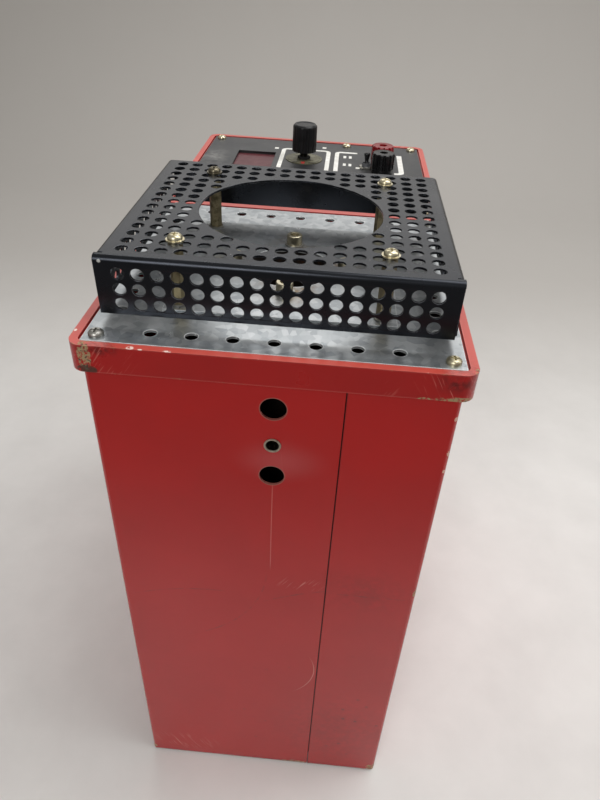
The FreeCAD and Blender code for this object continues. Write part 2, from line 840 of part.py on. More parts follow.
GUARD_X = S.guard_pitch.value * (S.guard_columns.value - 1) / 2 + S.guard_side_margin.value
GUARD_REACH = S.guard_pitch.value * (S.guard_rows.value - 1) / 2
SIDE_FOLD = GUARD_X - fold_depth(-S.guard_flare.value)
FRONT_FOLD = WELL_Y.value - GUARD_REACH - S.guard_front_margin.value + fold_depth(S.guard_lean.value)
REAR_FOLD = WELL_Y.value + GUARD_REACH + S.guard_rear_margin.value - fold_depth(0.0)
SIDE_START = FRONT_FOLD + 2 * S.guard_slit.value


def hole_line(count):
    """The punched holes' places along one row, about the middle of the row."""
    return [S.guard_pitch.value * (number - (count.value - 1) / 2) for number in range(count.times())]


def guard_top():
    """The flat top of the guard with its round mouth, notched at the front corners to free the bends."""
    slit = S.guard_slit.value
    sheet = S.guard_sheet.value
    past = S.cut_past.value
    notch = SIDE_FOLD - slit
    right = [(GUARD_X, FRONT_FOLD), (GUARD_X, FRONT_FOLD + slit), (notch, FRONT_FOLD + slit),
             (notch, SIDE_START), (SIDE_FOLD, SIDE_START), (SIDE_FOLD, REAR_FOLD)]
    outline = right + [(-x, y) for x, y in reversed(right)]
    points = [Vector(x, y, GUARD_UNDER.value) for x, y in outline]
    flat = Part.Face(Part.makePolygon(points + points[:1])).extrude(Vector(0, 0, sheet))

    middle = S.guard_mouth.value / 2
    holes = [(middle, 0.0, WELL_Y.value - S.mouth_shift.value)]
    holes += [(S.screw_shank.value / 2 + S.hole_gap.value, x.value, y.value) for x, y in POSTS]
    for x in hole_line(S.guard_columns):
        for y in hole_line(S.guard_rows):
            if math.hypot(x, y) > middle + S.mouth_land.value:
                holes.append((S.guard_hole.value / 2, x, WELL_Y.value + y))
    tools = [Part.makeCylinder(radius, sheet + 2 * past, Vector(x, y, GUARD_UNDER.value - past))
             for radius, x, y in holes]
    item = DOC.addObject("Part::Feature", "guard_sheet_top")
    item.Shape = flat.cut(tools).Solids[0]
    keep(item, "guard_top")


def bent_wall(length, lean, drop, places):
    """One wall of the guard, bent down along a fold line on +Y, with holes at places along that line."""
    sheet = S.guard_sheet.value
    past = S.cut_past.value
    outer = S.guard_bend.value
    turn = math.radians(90.0 + lean)
    down = Vector(math.cos(turn), 0, -math.sin(turn))
    outward = Vector(math.sin(turn), 0, math.cos(turn))
    skin, lining = [[Vector(radius * math.sin(angle), 0, radius * math.cos(angle) - outer)
                     for angle in (0.0, turn / 2, turn)] for radius in (outer, outer - sheet)]
    reach = (drop + skin[2].z) / math.sin(turn)
    skin_tip = skin[2] + down * reach
    lining_tip = lining[2] + down * reach
    edges = [Part.Arc(*skin).toShape(), Part.makeLine(skin[2], skin_tip), Part.makeLine(skin_tip, lining_tip),
             Part.makeLine(lining_tip, lining[2]), Part.Arc(*reversed(lining)).toShape(),
             Part.makeLine(lining[0], skin[0])]
    wall = Part.Face(Part.Wire(edges)).extrude(Vector(0, length, 0))
    tools = []
    for row in range(S.wall_rows.times()):
        slant = S.wall_row_drop.value + row * S.wall_row_spacing.value
        start = Vector(fold_depth(lean), 0, 0) + down * slant + outward * past
        tools += [Part.makeCylinder(S.guard_hole.value / 2, sheet + 2 * past, start + Vector(0, place, 0),
                                    outward * -1) for place in places]
    return (wall.cut(tools) if tools else wall).Solids[0]


def guard_walls():
    """The four walls of the guard; the front one spans its whole width and the rear one has no holes."""
    across = hole_line(S.guard_columns)
    along = [WELL_Y.value + y for y in hole_line(S.guard_rows)]
    lean = S.guard_lean.value
    flare = -S.guard_flare.value
    drop = S.guard_drop.value
    side = REAR_FOLD - SIDE_START
    walls = [(bent_wall(2 * GUARD_X, lean, drop, [GUARD_X + x for x in across]), -90, -GUARD_X, FRONT_FOLD),
             (bent_wall(side, flare, drop, [y - SIDE_START for y in along]), 0, SIDE_FOLD, SIDE_START),
             (bent_wall(side, flare, drop, [REAR_FOLD - y for y in along]), 180, -SIDE_FOLD, REAR_FOLD),
             (bent_wall(2 * SIDE_FOLD, 0.0, S.guard_rear_drop.value, []), 90, SIDE_FOLD, REAR_FOLD)]
    for wall, turn, x, y in walls:
        wall.Placement = Placement(Vector(x, y, GUARD_TOP.value), Rotation(Vector(0, 0, 1), turn))
    item = DOC.addObject("Part::Feature", "guard_sheet_walls")
    item.Shape = Part.makeCompound([wall for wall, turn, x, y in walls])
    keep(item, "guard_walls")


def guard_posts():
    """Hexagonal brass posts with washers below and flanged screws above; screws from below hold them."""
    seat = FLANGE_TOP + S.washer_sheet
    height = GUARD_UNDER - seat
    bore = S.screw_shank + 2 * S.hole_gap
    bar = nut("post", S.post_flats, height, bore)
    keep(repeat("posts", bar, [(x, y, seat) for x, y in POSTS]), "guard_posts")
    washer = tube("post_washer", S.post_washer, bore, S.washer_sheet)
    keep(repeat("post_rings", washer, [(x, y, FLANGE_TOP) for x, y in POSTS]), "post_washers")
    flange = (S.guard_screw_flange, S.guard_screw_flange_rise)
    top_screw = pan_screw("guard_screw", S.screw_length, flange)
    places = [(x, y, GUARD_TOP - S.screw_length) for x, y in POSTS]
    keep(repeat("guard_fixings", top_screw, places), "guard_screws")
    grip = S.plate_sheet + S.flange_sheet + S.washer_sheet
    base_screw = pan_screw("post_screw", S.screw_length + grip)
    upside = Rotation(Vector(1, 0, 0), 180)
    tip = PLATE_UNDER + S.screw_length + grip
    keep(repeat("post_fixings", base_screw, [(x, y, tip) for x, y in POSTS], upside), "post_base_screws")


# Well
TUBE_OUTER = S.well_bore + 2 * S.well_wall
TUBE_FOOT = PLATE_TOP - S.well_depth - S.well_floor
RING_UNDER = PLATE_UNDER - S.ring_height
JACKET_INNER = TUBE_OUTER + 2 * S.heater_wall + 4 * S.lay_gap
JACKET_FOOT = TUBE_FOOT - S.jacket_floor
CAN_INNER = S.jacket_width + 2 * S.lay_gap
HEATER_TOP = RING_UNDER - S.heater_drop
PROBE_Z = HEATER_TOP - S.heater_height - S.heater_space / 2


def well_flange():
    """The square plate on the deck that closes the top of the well."""
    body = plate("flange", S.flange_side, S.flange_side, S.flange_sheet)
    half = S.flange_side / 2
    low_y = WELL_Y - half
    holes = [(S.well_bore, half, half)]
    holes += [(S.bolt_shank + 2 * S.hole_gap, half + x, y - low_y) for x, y in BOLTS]
    holes += [(S.screw_shank + 2 * S.hole_gap, half + x, y - low_y) for x, y in POSTS]
    drill(body, holes)
    keep(move(body, -half, low_y, PLATE_TOP), "well_flange")


def flange_bolts():
    """Socket bolts and their washers, on the well's bolt circle."""
    seat = FLANGE_TOP + S.washer_sheet
    length = seat - RING_UNDER - S.bolt_tip_gap
    top = length + S.bolt_head_rise
    shank = S.bolt_shank / 2
    head = S.bolt_head / 2
    edge = S.bolt_head_chamfer
    blank = turned("bolt_blank", [(0, 0), (shank, 0), (shank, length), (head, length), (head, top - edge),
                                  (head - edge, top), (0, top)])
    key = hexagon("bolt_key", S.bolt_key, S.bolt_key_depth + S.cut_past)
    move(key, 0, 0, top - S.bolt_key_depth)
    bolt = cut("bolt", blank, [key])
    keep(repeat("bolts", bolt, [(x, y, seat - length) for x, y in BOLTS]), "flange_bolts")
    washer = tube("bolt_washer", S.bolt_washer, S.bolt_shank + 2 * S.hole_gap, S.washer_sheet)
    keep(repeat("bolt_rings", washer, [(x, y, FLANGE_TOP) for x, y in BOLTS]), "bolt_washers")


def mounting_ring():
    """The ring under the deck that the flange bolts pull the well up to."""
    half = S.ring_width / 2
    body = tube("ring_blank", S.ring_width, TUBE_OUTER + 2 * S.lay_gap, S.ring_height)
    drill(body, [(S.bolt_shank + 2 * S.hole_gap, x, y - WELL_Y) for x, y in BOLTS])
    if half.value <= S.bolt_circle.value / 2:
        raise RuntimeError("the ring is too narrow for its bolts")
    keep(move(body, 0, WELL_Y, RING_UNDER), "mounting_ring")


def well_tube():
    """The blind tube of the well."""
    outer = TUBE_OUTER / 2
    inner = S.well_bore / 2
    height = S.well_depth + S.well_floor
    body = turned("well", [(0, 0), (outer, 0), (outer, height), (inner, height), (inner, S.well_floor),
                           (0, S.well_floor)])
    keep(move(body, 0, WELL_Y, TUBE_FOOT), "well_tube")


def heater_bands():
    """Two band heaters round the well tube."""
    inner = TUBE_OUTER + 2 * S.lay_gap
    band = tube("band", inner + 2 * S.heater_wall, inner, S.heater_height)
    upper = HEATER_TOP - S.heater_height
    lower = upper - S.heater_space - S.heater_height
    keep(repeat("bands", band, [(0, WELL_Y, upper), (0, WELL_Y, lower)]), "heater_bands")


def probe_hole(name):
    """The way of the thermocouple out through the jacket and the can."""
    return rod(name, S.probe_width + 2 * S.lay_gap, CAN_INNER, 0, WELL_Y, PROBE_Z, TO_REAR)


def insulation():
    """The fibre jacket round the heaters, and the can that holds it, hung from the deck."""
    inner = JACKET_INNER / 2
    outer = S.jacket_width / 2
    height = RING_UNDER - JACKET_FOOT
    seat = TUBE_OUTER / 2 + S.lay_gap
    jacket = turned("jacket_blank", [(0, 0), (outer, 0), (outer, height), (seat, height),
                                     (seat, height - S.heater_drop), (inner, height - S.heater_drop),
                                     (inner, S.jacket_floor), (0, S.jacket_floor)])
    move(jacket, 0, WELL_Y, JACKET_FOOT)
    keep(cut("jacket", jacket, [probe_hole("jacket_hole")]), "insulation_jacket")
    wall = CAN_INNER / 2
    skin = wall + S.can_sheet
    top = PLATE_UNDER - JACKET_FOOT + S.can_sheet
    lip = skin + S.can_lip
    shoulder = top - S.can_sheet
    can = turned("can_blank", [(0, 0), (skin, 0), (skin, shoulder), (lip, shoulder), (lip, top), (wall, top),
                               (wall, S.can_sheet), (0, S.can_sheet)])
    move(can, 0, WELL_Y, JACKET_FOOT - S.can_sheet)
    keep(cut("can", can, [probe_hole("can_hole")]), "heat_can")


def thermocouple():
    """The probe that touches the tube between the heaters, with its connector head outside the can."""
    start = TUBE_OUTER / 2 + S.lay_gap
    length = CAN_INNER / 2 + S.can_sheet - start + S.lay_gap
    probe = S.probe_width / 2
    head = S.probe_head / 2
    body = turned("probe", [(0, 0), (probe, 0), (probe, length), (head, length),
                            (head, length + S.probe_head_length), (0, length + S.probe_head_length)])
    keep(move(body, 0, WELL_Y + start, PROBE_Z, TO_REAR), "thermocouple")


# Control panel
WINDOW_X = (S.window_side_margin - PLATE_X, S.window_side_margin + S.window_width - PLATE_X)
WINDOW_Y = (PANEL_REAR - S.window_rear_margin - S.window_length, PANEL_REAR - S.window_rear_margin)
BEZEL_X = (WINDOW_X[0] - S.bezel_wall, WINDOW_X[1] + S.bezel_wall)
BEZEL_Y = (WINDOW_Y[0] - S.bezel_wall, WINDOW_Y[1] + S.bezel_wall)


def control_panel():
    """The panel plate with its window and the holes for the controls."""
    body = plate("panel", 2 * PLATE_X, PANEL_REAR - PANEL_FRONT, S.plate_sheet)
    slip = 2 * S.hole_gap
    holes = [(S.screw_shank + slip, x, y) for x, y in PANEL_SCREWS]
    holes.append((S.pot_bush + slip, KNOB_X, KNOB_Y))
    holes.append((S.toggle_bush + slip, TOGGLE_X, TOGGLE_Y))
    holes += [(S.collar_spigot + slip, x, y) for x, y in TERMINALS.values()]
    drill(body, [(width, PLATE_X + x, y - PANEL_FRONT) for width, x, y in holes])
    window = sketch_on(body, "panel_window", "XY_Plane")
    low_x, high_x = [PLATE_X + x for x in WINDOW_X]
    low_y, high_y = [y - PANEL_FRONT for y in WINDOW_Y]
    draw_outline(window, [(low_x, low_y), (high_x, low_y), (high_x, high_y), (low_x, high_y)])
    cut_through(body, window)
    keep(move(body, -PLATE_X, PANEL_FRONT, PLATE_UNDER), "control_panel")


def display():
    """The window's bezel, filter and module, stacked under the panel."""
    bezel_under = PLATE_UNDER - S.bezel_height
    lens_under = bezel_under - S.lens_sheet
    frame = box("bezel_block", BEZEL_X, BEZEL_Y, (bezel_under, PLATE_UNDER))
    opening = box("bezel_opening", WINDOW_X, WINDOW_Y, (bezel_under - S.cut_past, PLATE_UNDER + S.cut_past))
    keep(cut("bezel", frame, [opening]), "display_bezel")
    keep(box("lens", BEZEL_X, BEZEL_Y, (lens_under, bezel_under)), "display_lens")
    keep(box("module", BEZEL_X, BEZEL_Y, (lens_under - S.module_height, lens_under)), "display_module")


def control_knob():
    """The fluted knob on its potentiometer, over a round dial plate."""
    bore = S.pot_shaft / 2 + S.run_gap
    side = S.knob_width / 2
    top_side = S.knob_top_width / 2
    dish = top_side - S.knob_dish_rim
    height = S.knob_height
    floor = height - S.knob_dish
    foot = PLATE_TOP + S.dial_sheet + S.knob_clearance
    edge = S.knob_edge
    body = turned("knob", [(bore, 0), (side, 0), (top_side, height - edge), (top_side - edge, height),
                           (dish, height), (dish - S.knob_dish, floor), (0, floor), (0, S.knob_bore_height),
                           (bore, S.knob_bore_height)])
    move(body, KNOB_X, KNOB_Y, foot)
    ring = side + S.knob_flute_width / 2 - S.knob_flute_depth
    flutes = [rod(f"flute_{number}", S.knob_flute_width, height, KNOB_X + ring * x, KNOB_Y + ring * y, foot)
              for number, (x, y) in enumerate(around(S.knob_flutes.times(), 1.0))]
    keep(cut("fluted_knob", body, flutes), "control_knob")

    dial = tube("dial", S.dial_width, S.pot_bush + 2 * S.hole_gap, S.dial_sheet)
    keep(move(dial, KNOB_X, KNOB_Y, PLATE_TOP), "dial_plate")
    ring_nut = nut("pot_ring", S.pot_nut, S.pot_nut_height, S.pot_bush + 2 * S.hole_gap)
    keep(move(ring_nut, KNOB_X, KNOB_Y, PLATE_TOP + S.dial_sheet), "pot_nut")

    can = S.pot_width / 2
    bush = S.pot_bush / 2
    deep = S.pot_height
    bush_top = deep + S.plate_sheet + S.pot_bush_rise
    blind = deep - S.pot_shaft_depth
    pot = turned("pot", [(0, 0), (can, 0), (can, deep), (bush, deep), (bush, bush_top), (bore, bush_top),
                         (bore, blind), (0, blind)])
    keep(move(pot, KNOB_X, KNOB_Y, PLATE_UNDER - deep), "pot_body")
    shaft_foot = PLATE_UNDER - S.pot_shaft_depth + S.lay_gap
    shaft_top = foot + S.knob_bore_height - S.lay_gap
    keep(rod("shaft", S.pot_shaft, shaft_top - shaft_foot, KNOB_X, KNOB_Y, shaft_foot), "pot_shaft")


def terminal(colour, x, y):
    """One screw terminal: fixed collar and socketed stud, and a cap that turns on a brass insert."""
    stud = S.stud_width / 2
    spigot = S.collar_spigot / 2
    collar = S.collar_width / 2
    hole = stud + S.hole_gap
    sheet = S.plate_sheet
    rise = sheet + S.collar_height
    base = turned(f"{colour}_collar", [(hole, 0), (spigot, 0), (spigot, sheet), (collar, sheet),
                                       (collar, rise), (hole, rise)])
    keep(move(base, x, y, PLATE_UNDER), f"{colour}_terminal_collar")

    length = S.stud_tail + S.plate_sheet + S.stud_rise
    socket = S.plug_bore / 2
    stud_body = turned(f"{colour}_stud", [(0, 0), (stud, 0), (stud, length), (socket, length),
                                          (socket, length - S.plug_depth), (0, length - S.plug_depth)])
    keep(move(stud_body, x, y, PLATE_UNDER - S.stud_tail), f"{colour}_terminal_stud")

    seat = PLATE_TOP + S.collar_height + S.lay_gap
    inner = stud + S.run_gap
    outer = inner + S.insert_wall
    insert = turned(f"{colour}_thread", [(inner, 0), (outer, 0), (outer, S.insert_height),
                                         (inner, S.insert_height)])
    keep(move(insert, x, y, seat + S.hole_gap), f"{colour}_terminal_insert")

    cap_bore = outer + S.run_gap
    shoulder = S.insert_height + S.hole_gap + S.lay_gap
    side = S.cap_width / 2
    mouth = S.cap_mouth / 2
    cap = turned(f"{colour}_cap_blank", [(cap_bore, 0), (side, 0), (side, S.cap_height - S.cap_edge),
                                         (side - S.cap_edge, S.cap_height), (mouth, S.cap_height),
                                         (mouth, shoulder), (cap_bore, shoulder)])
    ring = around(S.cap_flutes.times(), 1.0, S.cap_flute_start.value)
    drill(cap, [(S.cap_flute_width, side * u, side * v) for u, v in ring])
    keep(move(cap, x, y, seat), f"{colour}_terminal_cap")


def terminals():
    """Both terminals and the nuts that hold them under the panel."""
    for colour, (x, y) in TERMINALS.items():
        terminal(colour, x, y)
    back_nut = nut("back_nut", S.nut_flats, S.nut_height, S.stud_width + 2 * S.hole_gap)
    places = [(x, y, PLATE_UNDER - S.nut_height) for x, y in TERMINALS.values()]
    keep(repeat("back_nuts", back_nut, places), "terminal_nuts")


def toggle_switch():
    """The toggle switch: body with its bush, panel nut and a lever that rests leaning to the rear."""
    half_x = S.toggle_body_width / 2
    half_y = S.toggle_body_length / 2
    base = box("toggle_block", (TOGGLE_X - half_x, TOGGLE_X + half_x), (TOGGLE_Y - half_y, TOGGLE_Y + half_y),
               (PLATE_UNDER - S.toggle_body_height, PLATE_UNDER))
    bush_height = S.plate_sheet + S.toggle_bush_rise
    bush = rod("toggle_bush_bar", S.toggle_bush, bush_height, TOGGLE_X, TOGGLE_Y, PLATE_UNDER)
    blank = fuse("toggle_blank", [base, bush])
    bore = rod("toggle_bore", S.toggle_bush_bore, bush_height, TOGGLE_X, TOGGLE_Y, PLATE_UNDER)
    keep(cut("toggle", blank, [bore]), "toggle_body")
    ring_nut = nut("toggle_ring", S.toggle_nut, S.toggle_nut_height, S.toggle_bush + 2 * S.hole_gap)
    keep(move(ring_nut, TOGGLE_X, TOGGLE_Y, PLATE_TOP), "toggle_nut")

    ball = DOC.addObject("Part::Sphere", "toggle_ball_end")
    ball.setExpression("Radius", (S.toggle_ball / 2).text)
    stem = S.toggle_stem / 2
    tip = S.toggle_tip / 2
    reach = S.toggle_reach
    end = S.toggle_round
    bat = turned("toggle_bat", [(0, 0), (stem, 0), (stem, S.toggle_neck_reach), (tip, reach - end),
                                (tip - end, reach), (0, reach)])
    lever = fuse("lever", [ball, bat])
    lean = Rotation(Vector(1, 0, 0), -S.toggle_lean.value)
    move(lever, TOGGLE_X, TOGGLE_Y, PLATE_TOP + S.toggle_pivot, lean)
    keep(lever, "toggle_lever")


# Inside
PARTITION_Y = (RAIL_FRONT + RAIL_REAR) / 2 - S.partition_sheet / 2
BOARD_Y = PARTITION_Y + S.partition_sheet + S.standoff_length


def partition_wall():
    """The sheet between the hot half and the control half, with a port for the fan's air."""
    half_x = CASE_IN_X - S.lay_gap
    span_y = (PARTITION_Y, PARTITION_Y + S.partition_sheet)
    flange = FLOOR_TOP + S.tray_flange
    upper = box("partition_sheet_upper", (-half_x, half_x), span_y, (flange, LEDGE_UNDER))
    low_x = half_x - S.case_sheet - S.lay_gap
    lower = box("partition_sheet_lower", (-low_x, low_x), span_y, (FLOOR_TOP, flange))
    sheet = fuse("partition_blank", [upper, lower])
    half = S.partition_port_width / 2
    port = box("partition_port", (-half, half),
               (PARTITION_Y - S.cut_past, PARTITION_Y + S.partition_sheet + S.cut_past),
               (S.port_foot_height, S.port_foot_height + S.partition_port_height))
    keep(cut("partition", sheet, [port]), "partition_wall")


def fan():
    """The axial fan behind the rear wall, with a rotor that runs on its own shaft."""
    half = S.fan_side / 2
    depth = S.fan_depth
    shell = plate("fan_shell", S.fan_side, S.fan_side, depth)
    round_corners(shell, S.fan_corner)
    shank = S.screw_shank + 2 * S.hole_gap
    spread = S.fan_hole_spacing / 2
    drill(shell, [(S.fan_bore, half, half)] + [(shank, half + x, half + y) for x in (-spread, spread)
                                               for y in (-spread, spread)])
    move(shell, -half, -half, 0)
    boss_foot = depth - S.fan_boss_height
    boss = rod("fan_boss", S.fan_hub, S.fan_boss_height, 0, 0, boss_foot)
    bush_foot = boss_foot - S.fan_bush_length
    bush = rod("fan_bush_bar", S.fan_bush, S.fan_bush_length, 0, 0, bush_foot)
    strut = S.fan_strut
    reach = S.fan_bore / 2 + S.cut_past
    struts = [box("fan_strut_x", (-reach, reach), (-strut, strut), (boss_foot + strut, depth)),
              box("fan_strut_y", (-strut, strut), (-reach, reach), (boss_foot + strut, depth))]
    blank = fuse("fan_blank", [shell, boss, bush] + struts)
    bore = rod("fan_bore_rod", S.fan_shaft + 2 * S.run_gap, depth - bush_foot, 0, 0, bush_foot)
    frame = cut("fan_housing", blank, [bore])
    wall = CASE_IN_Y - depth
    move(frame, FAN_X, wall, FAN_Z, TO_REAR)
    keep(frame, "fan_frame")

    hub = S.fan_hub / 2
    cup_top = boss_foot - S.fan_run_gap
    cup_foot = cup_top - S.fan_cup_height
    inner = hub - S.fan_cup_wall
    shaft = S.fan_shaft / 2
    lid = cup_foot + S.fan_cup_wall
    cup = turned("fan_cup", [(0, cup_foot), (hub, cup_foot), (hub, cup_top), (inner, cup_top), (inner, lid),
                             (shaft, lid), (shaft, depth - S.lay_gap), (0, depth - S.lay_gap)])
    blades = []
    tip = S.fan_bore / 2 - S.fan_tip_gap
    middle = (cup_foot + cup_top) / 2
    count = S.fan_blades.times()
    for number in range(count):
        blade = DOC.addObject("Part::Box", f"fan_blade_{number}")
        blade.setExpression("Length", (tip - hub + S.cut_past).text)
        blade.setExpression("Width", S.fan_blade_sheet.text)
        blade.setExpression("Height", S.fan_blade_chord.text)
        root = hub.value - S.cut_past.value
        twist = Rotation(Vector(1, 0, 0), S.fan_blade_pitch.value)
        spot = Rotation(Vector(0, 0, 1), 360.0 * number / count)
        section = Vector(0, S.fan_blade_sheet.value, S.fan_blade_chord.value)
        offset = Vector(root, 0, 0) - twist.multVec(section / 2)
        blade.Placement = Placement(Vector(0, 0, middle.value) + spot.multVec(offset), spot.multiply(twist))
        blades.append(blade)
    rotor = fuse("rotor", [cup] + blades)
    move(rotor, FAN_X, wall, FAN_Z, TO_REAR)
    keep(rotor, "fan_rotor")

    screw = pan_screw("fan_screw", S.fan_screw_length)
    places = [(x, CASE_Y - S.fan_screw_length, z) for x, z in fan_corners()]
    keep(repeat("fan_fixings", screw, places, TO_REAR), "fan_screws")


def mains_inlet():
    """The three-pin inlet in the rear wall, and its pins."""
    half_x = S.inlet_width / 2
    half_z = S.inlet_height / 2
    face = CASE_Y + S.inlet_flange_rise
    body = box("inlet_body", (INLET_X - half_x, INLET_X + half_x), (CASE_Y - S.inlet_depth, CASE_Y),
               (INLET_Z - half_z, INLET_Z + half_z))
    wide = S.inlet_flange_width / 2
    tall = S.inlet_flange_height / 2
    flange = box("inlet_flange", (INLET_X - wide, INLET_X + wide), (CASE_Y, face),
                 (INLET_Z - tall, INLET_Z + tall))
    blank = fuse("inlet_blank", [body, flange])
    in_x = half_x - S.inlet_wall
    in_z = half_z - S.inlet_wall
    back = CASE_Y - S.inlet_socket_depth
    socket = box("inlet_socket", (INLET_X - in_x, INLET_X + in_x), (back, face + S.cut_past),
                 (INLET_Z - in_z, INLET_Z + in_z))
    foot = CASE_Y - S.inlet_depth - S.pin_tail
    tip = back + S.pin_length
    pins = []
    for name, step, drop in (("left", -1, 0), ("earth", 0, 1), ("right", 1, 0)):
        x = INLET_X + S.pin_spacing * step
        z = INLET_Z - S.pin_height * 0.5 * drop
        pins.append(box(f"{name}_pin", (x - S.pin_width / 2, x + S.pin_width / 2), (foot, tip),
                        (z - S.pin_height / 2, z + S.pin_height / 2)))
    contacts = keep(group("contacts", pins), "inlet_pins")
    hollow = cut("inlet_hollow", blank, [socket])
    keep(cut("inlet", hollow, [contacts]), "mains_inlet")


def control_board():
    """The board on the partition, its standoffs and its larger parts."""
    half = S.board_width / 2
    margin = S.board_hole_margin
    places = [(x, S.board_foot_height + z) for x in (margin - half, half - margin)
              for z in (margin, S.board_height - margin)]
    rear = PARTITION_Y + S.partition_sheet
    posts = [rod(f"standoff_{number}", S.standoff_width, S.standoff_length, x, rear, z, TO_REAR)
             for number, (x, z) in enumerate(places)]
    keep(group("standoffs", posts), "board_standoffs")
    face = BOARD_Y + S.board_sheet
    span_z = (S.board_foot_height, S.board_foot_height + S.board_height)
    keep(box("board", (-half, half), (BOARD_Y, face), span_z), "control_board")
    row = S.board_foot_height + S.board_height / 2
    left = -half + 2 * margin
    relay = box("relay", (left, left + S.relay_width), (face, face + S.relay_depth),
                (row, row + S.relay_height))
    base = S.board_foot_height + margin
    strip = box("strip", (-(S.block_width / 2), S.block_width / 2), (face, face + S.block_depth),
                (base, base + S.block_height))
    right = half - 2 * margin - S.capacitor_width
    capacitor = rod("capacitor", S.capacitor_width, S.capacitor_length, right, face, row + S.relay_height / 2,
                    TO_REAR)
    keep(group("board_items", [relay, strip, capacitor]), "board_parts")


def transformer():
    """The supply transformer on the tray: core, coil and strap."""
    half_x = S.core_width / 2
    half_y = S.core_depth / 2
    leg = S.core_leg / 2
    low_z = FLOOR_TOP + S.core_yoke
    high_z = FLOOR_TOP + S.core_height - S.core_yoke
    x = CORE_X
    y = CORE_Y
    blank = box("core_block", (x - half_x, x + half_x), (y - half_y, y + half_y),
                (FLOOR_TOP, FLOOR_TOP + S.core_height))
    outer = half_x - S.core_leg / 2
    span_y = (y - half_y - S.cut_past, y + half_y + S.cut_past)
    windows = [box("core_window_left", (x - outer, x - leg), span_y, (low_z, high_z)),
               box("core_window_right", (x + leg, x + outer), span_y, (low_z, high_z))]
    keep(cut("core", blank, windows), "transformer_core")
    gap = S.lay_gap
    reach = half_y + S.coil_proud
    coil = box("coil_block", (x - outer + gap, x + outer - gap), (y - reach, y + reach),
               (low_z + gap, high_z - gap))
    hole = box("coil_hole", (x - leg - gap, x + leg + gap), (y - half_y - gap, y + half_y + gap),
               (low_z, high_z))
    keep(cut("coil", coil, [hole]), "transformer_coil")

    sheet = S.clamp_sheet
    half = S.clamp_width / 2
    strap_y = (y - half, y + half)
    top = FLOOR_TOP + S.core_height
    wide = half_x + sheet
    foot_z = (FLOOR_TOP, FLOOR_TOP + sheet)
    strap = [box("clamp_top", (x - wide, x + wide), strap_y, (top, top + sheet)),
             box("clamp_left", (x - wide, x - half_x), strap_y, (FLOOR_TOP, top)),
             box("clamp_right", (x + half_x, x + wide), strap_y, (FLOOR_TOP, top)),
             box("clamp_foot_left", (x - wide - S.clamp_foot, x - wide), strap_y, foot_z),
             box("clamp_foot_right", (x + wide, x + wide + S.clamp_foot), strap_y, foot_z)]
    keep(fuse("clamp", strap), "transformer_clamp")


def build():
    """Makes every piece, from the floor up."""
    base_tray()
    rubber_feet()
    case_shells(case_wall())
    seam_strips()
    rivet_nut()
    rim_frame()
    divider_rail()
    deck_plate()
    control_panel()
    plate_screws()
    well_flange()
    flange_bolts()
    mounting_ring()
    well_tube()
    heater_bands()
    insulation()
    thermocouple()
    guard_top()
    guard_walls()
    guard_posts()
    display()
    control_knob()
    terminals()
    toggle_switch()
    partition_wall()
    fan()
    mains_inlet()
    control_board()
    transformer()
    DOC.recompute()


def check():
    """Stops the build if an object failed or a piece has no sound shape."""
    for item in DOC.Objects:
        if "Invalid" in item.State or "Error" in item.State:
            raise RuntimeError(f"{item.Name} failed: {item.State}")
    for item in PIECES:
        if item.Shape.isNull() or not item.Shape.isValid() or not item.Shape.Solids:
            raise RuntimeError(f"{item.Label} has no sound shape")


def write():
    """Writes each piece to a file of its own."""
    os.makedirs("parts", exist_ok=True)
    for item in PIECES:
        item.Shape.exportStep(f"parts/{item.Label}.step")
        print(item.Label, len(item.Shape.Solids), round(item.Shape.Volume, 1))
    print(len(PIECES), "pieces")


build()
check()
write()
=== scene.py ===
"""Dresses the bench tester: a red enamelled case with a guarded hot well and a control panel on its top."""

import json
import logging
import math
from dataclasses import dataclass
from enum import Enum
from functools import cache
from typing import Any, ClassVar, Iterable, Optional, Union

import bmesh
import bpy
from mathutils import Euler, Matrix, Vector

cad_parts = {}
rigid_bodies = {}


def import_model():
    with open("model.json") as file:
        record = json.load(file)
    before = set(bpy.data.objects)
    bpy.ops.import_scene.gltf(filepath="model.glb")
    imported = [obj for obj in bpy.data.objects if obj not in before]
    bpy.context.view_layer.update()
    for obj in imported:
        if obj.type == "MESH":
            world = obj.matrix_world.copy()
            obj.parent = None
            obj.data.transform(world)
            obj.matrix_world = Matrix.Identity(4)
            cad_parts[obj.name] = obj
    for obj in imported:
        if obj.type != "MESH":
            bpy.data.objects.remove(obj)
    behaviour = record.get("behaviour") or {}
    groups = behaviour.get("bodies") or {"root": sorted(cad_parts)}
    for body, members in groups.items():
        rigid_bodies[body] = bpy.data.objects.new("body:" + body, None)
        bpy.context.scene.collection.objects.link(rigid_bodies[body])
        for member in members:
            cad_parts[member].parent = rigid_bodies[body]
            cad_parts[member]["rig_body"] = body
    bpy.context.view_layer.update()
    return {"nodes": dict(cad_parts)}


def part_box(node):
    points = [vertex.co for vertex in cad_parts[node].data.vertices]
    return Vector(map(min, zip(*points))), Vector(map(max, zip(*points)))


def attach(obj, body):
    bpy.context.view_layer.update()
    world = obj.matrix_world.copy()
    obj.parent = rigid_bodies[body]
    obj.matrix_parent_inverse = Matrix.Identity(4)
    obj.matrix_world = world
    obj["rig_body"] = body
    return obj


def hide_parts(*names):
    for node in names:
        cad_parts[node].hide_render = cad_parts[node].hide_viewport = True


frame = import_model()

LOG = logging.getLogger("bench_tester")
MM = 0.001
MERGE = 0.002 * MM
FLAT_DEG = 0.5
SHARP_DEG = 40.0
SMOOTH_DEG = 32.0
BEVEL_SAMPLES = 6
BEVEL_SEGMENTS = 2

Mesh = bmesh.types.BMesh
Socket = bpy.types.NodeSocket
Tree = bpy.types.NodeTree
Pair = tuple[float, float]
Triple = tuple[float, float, float]

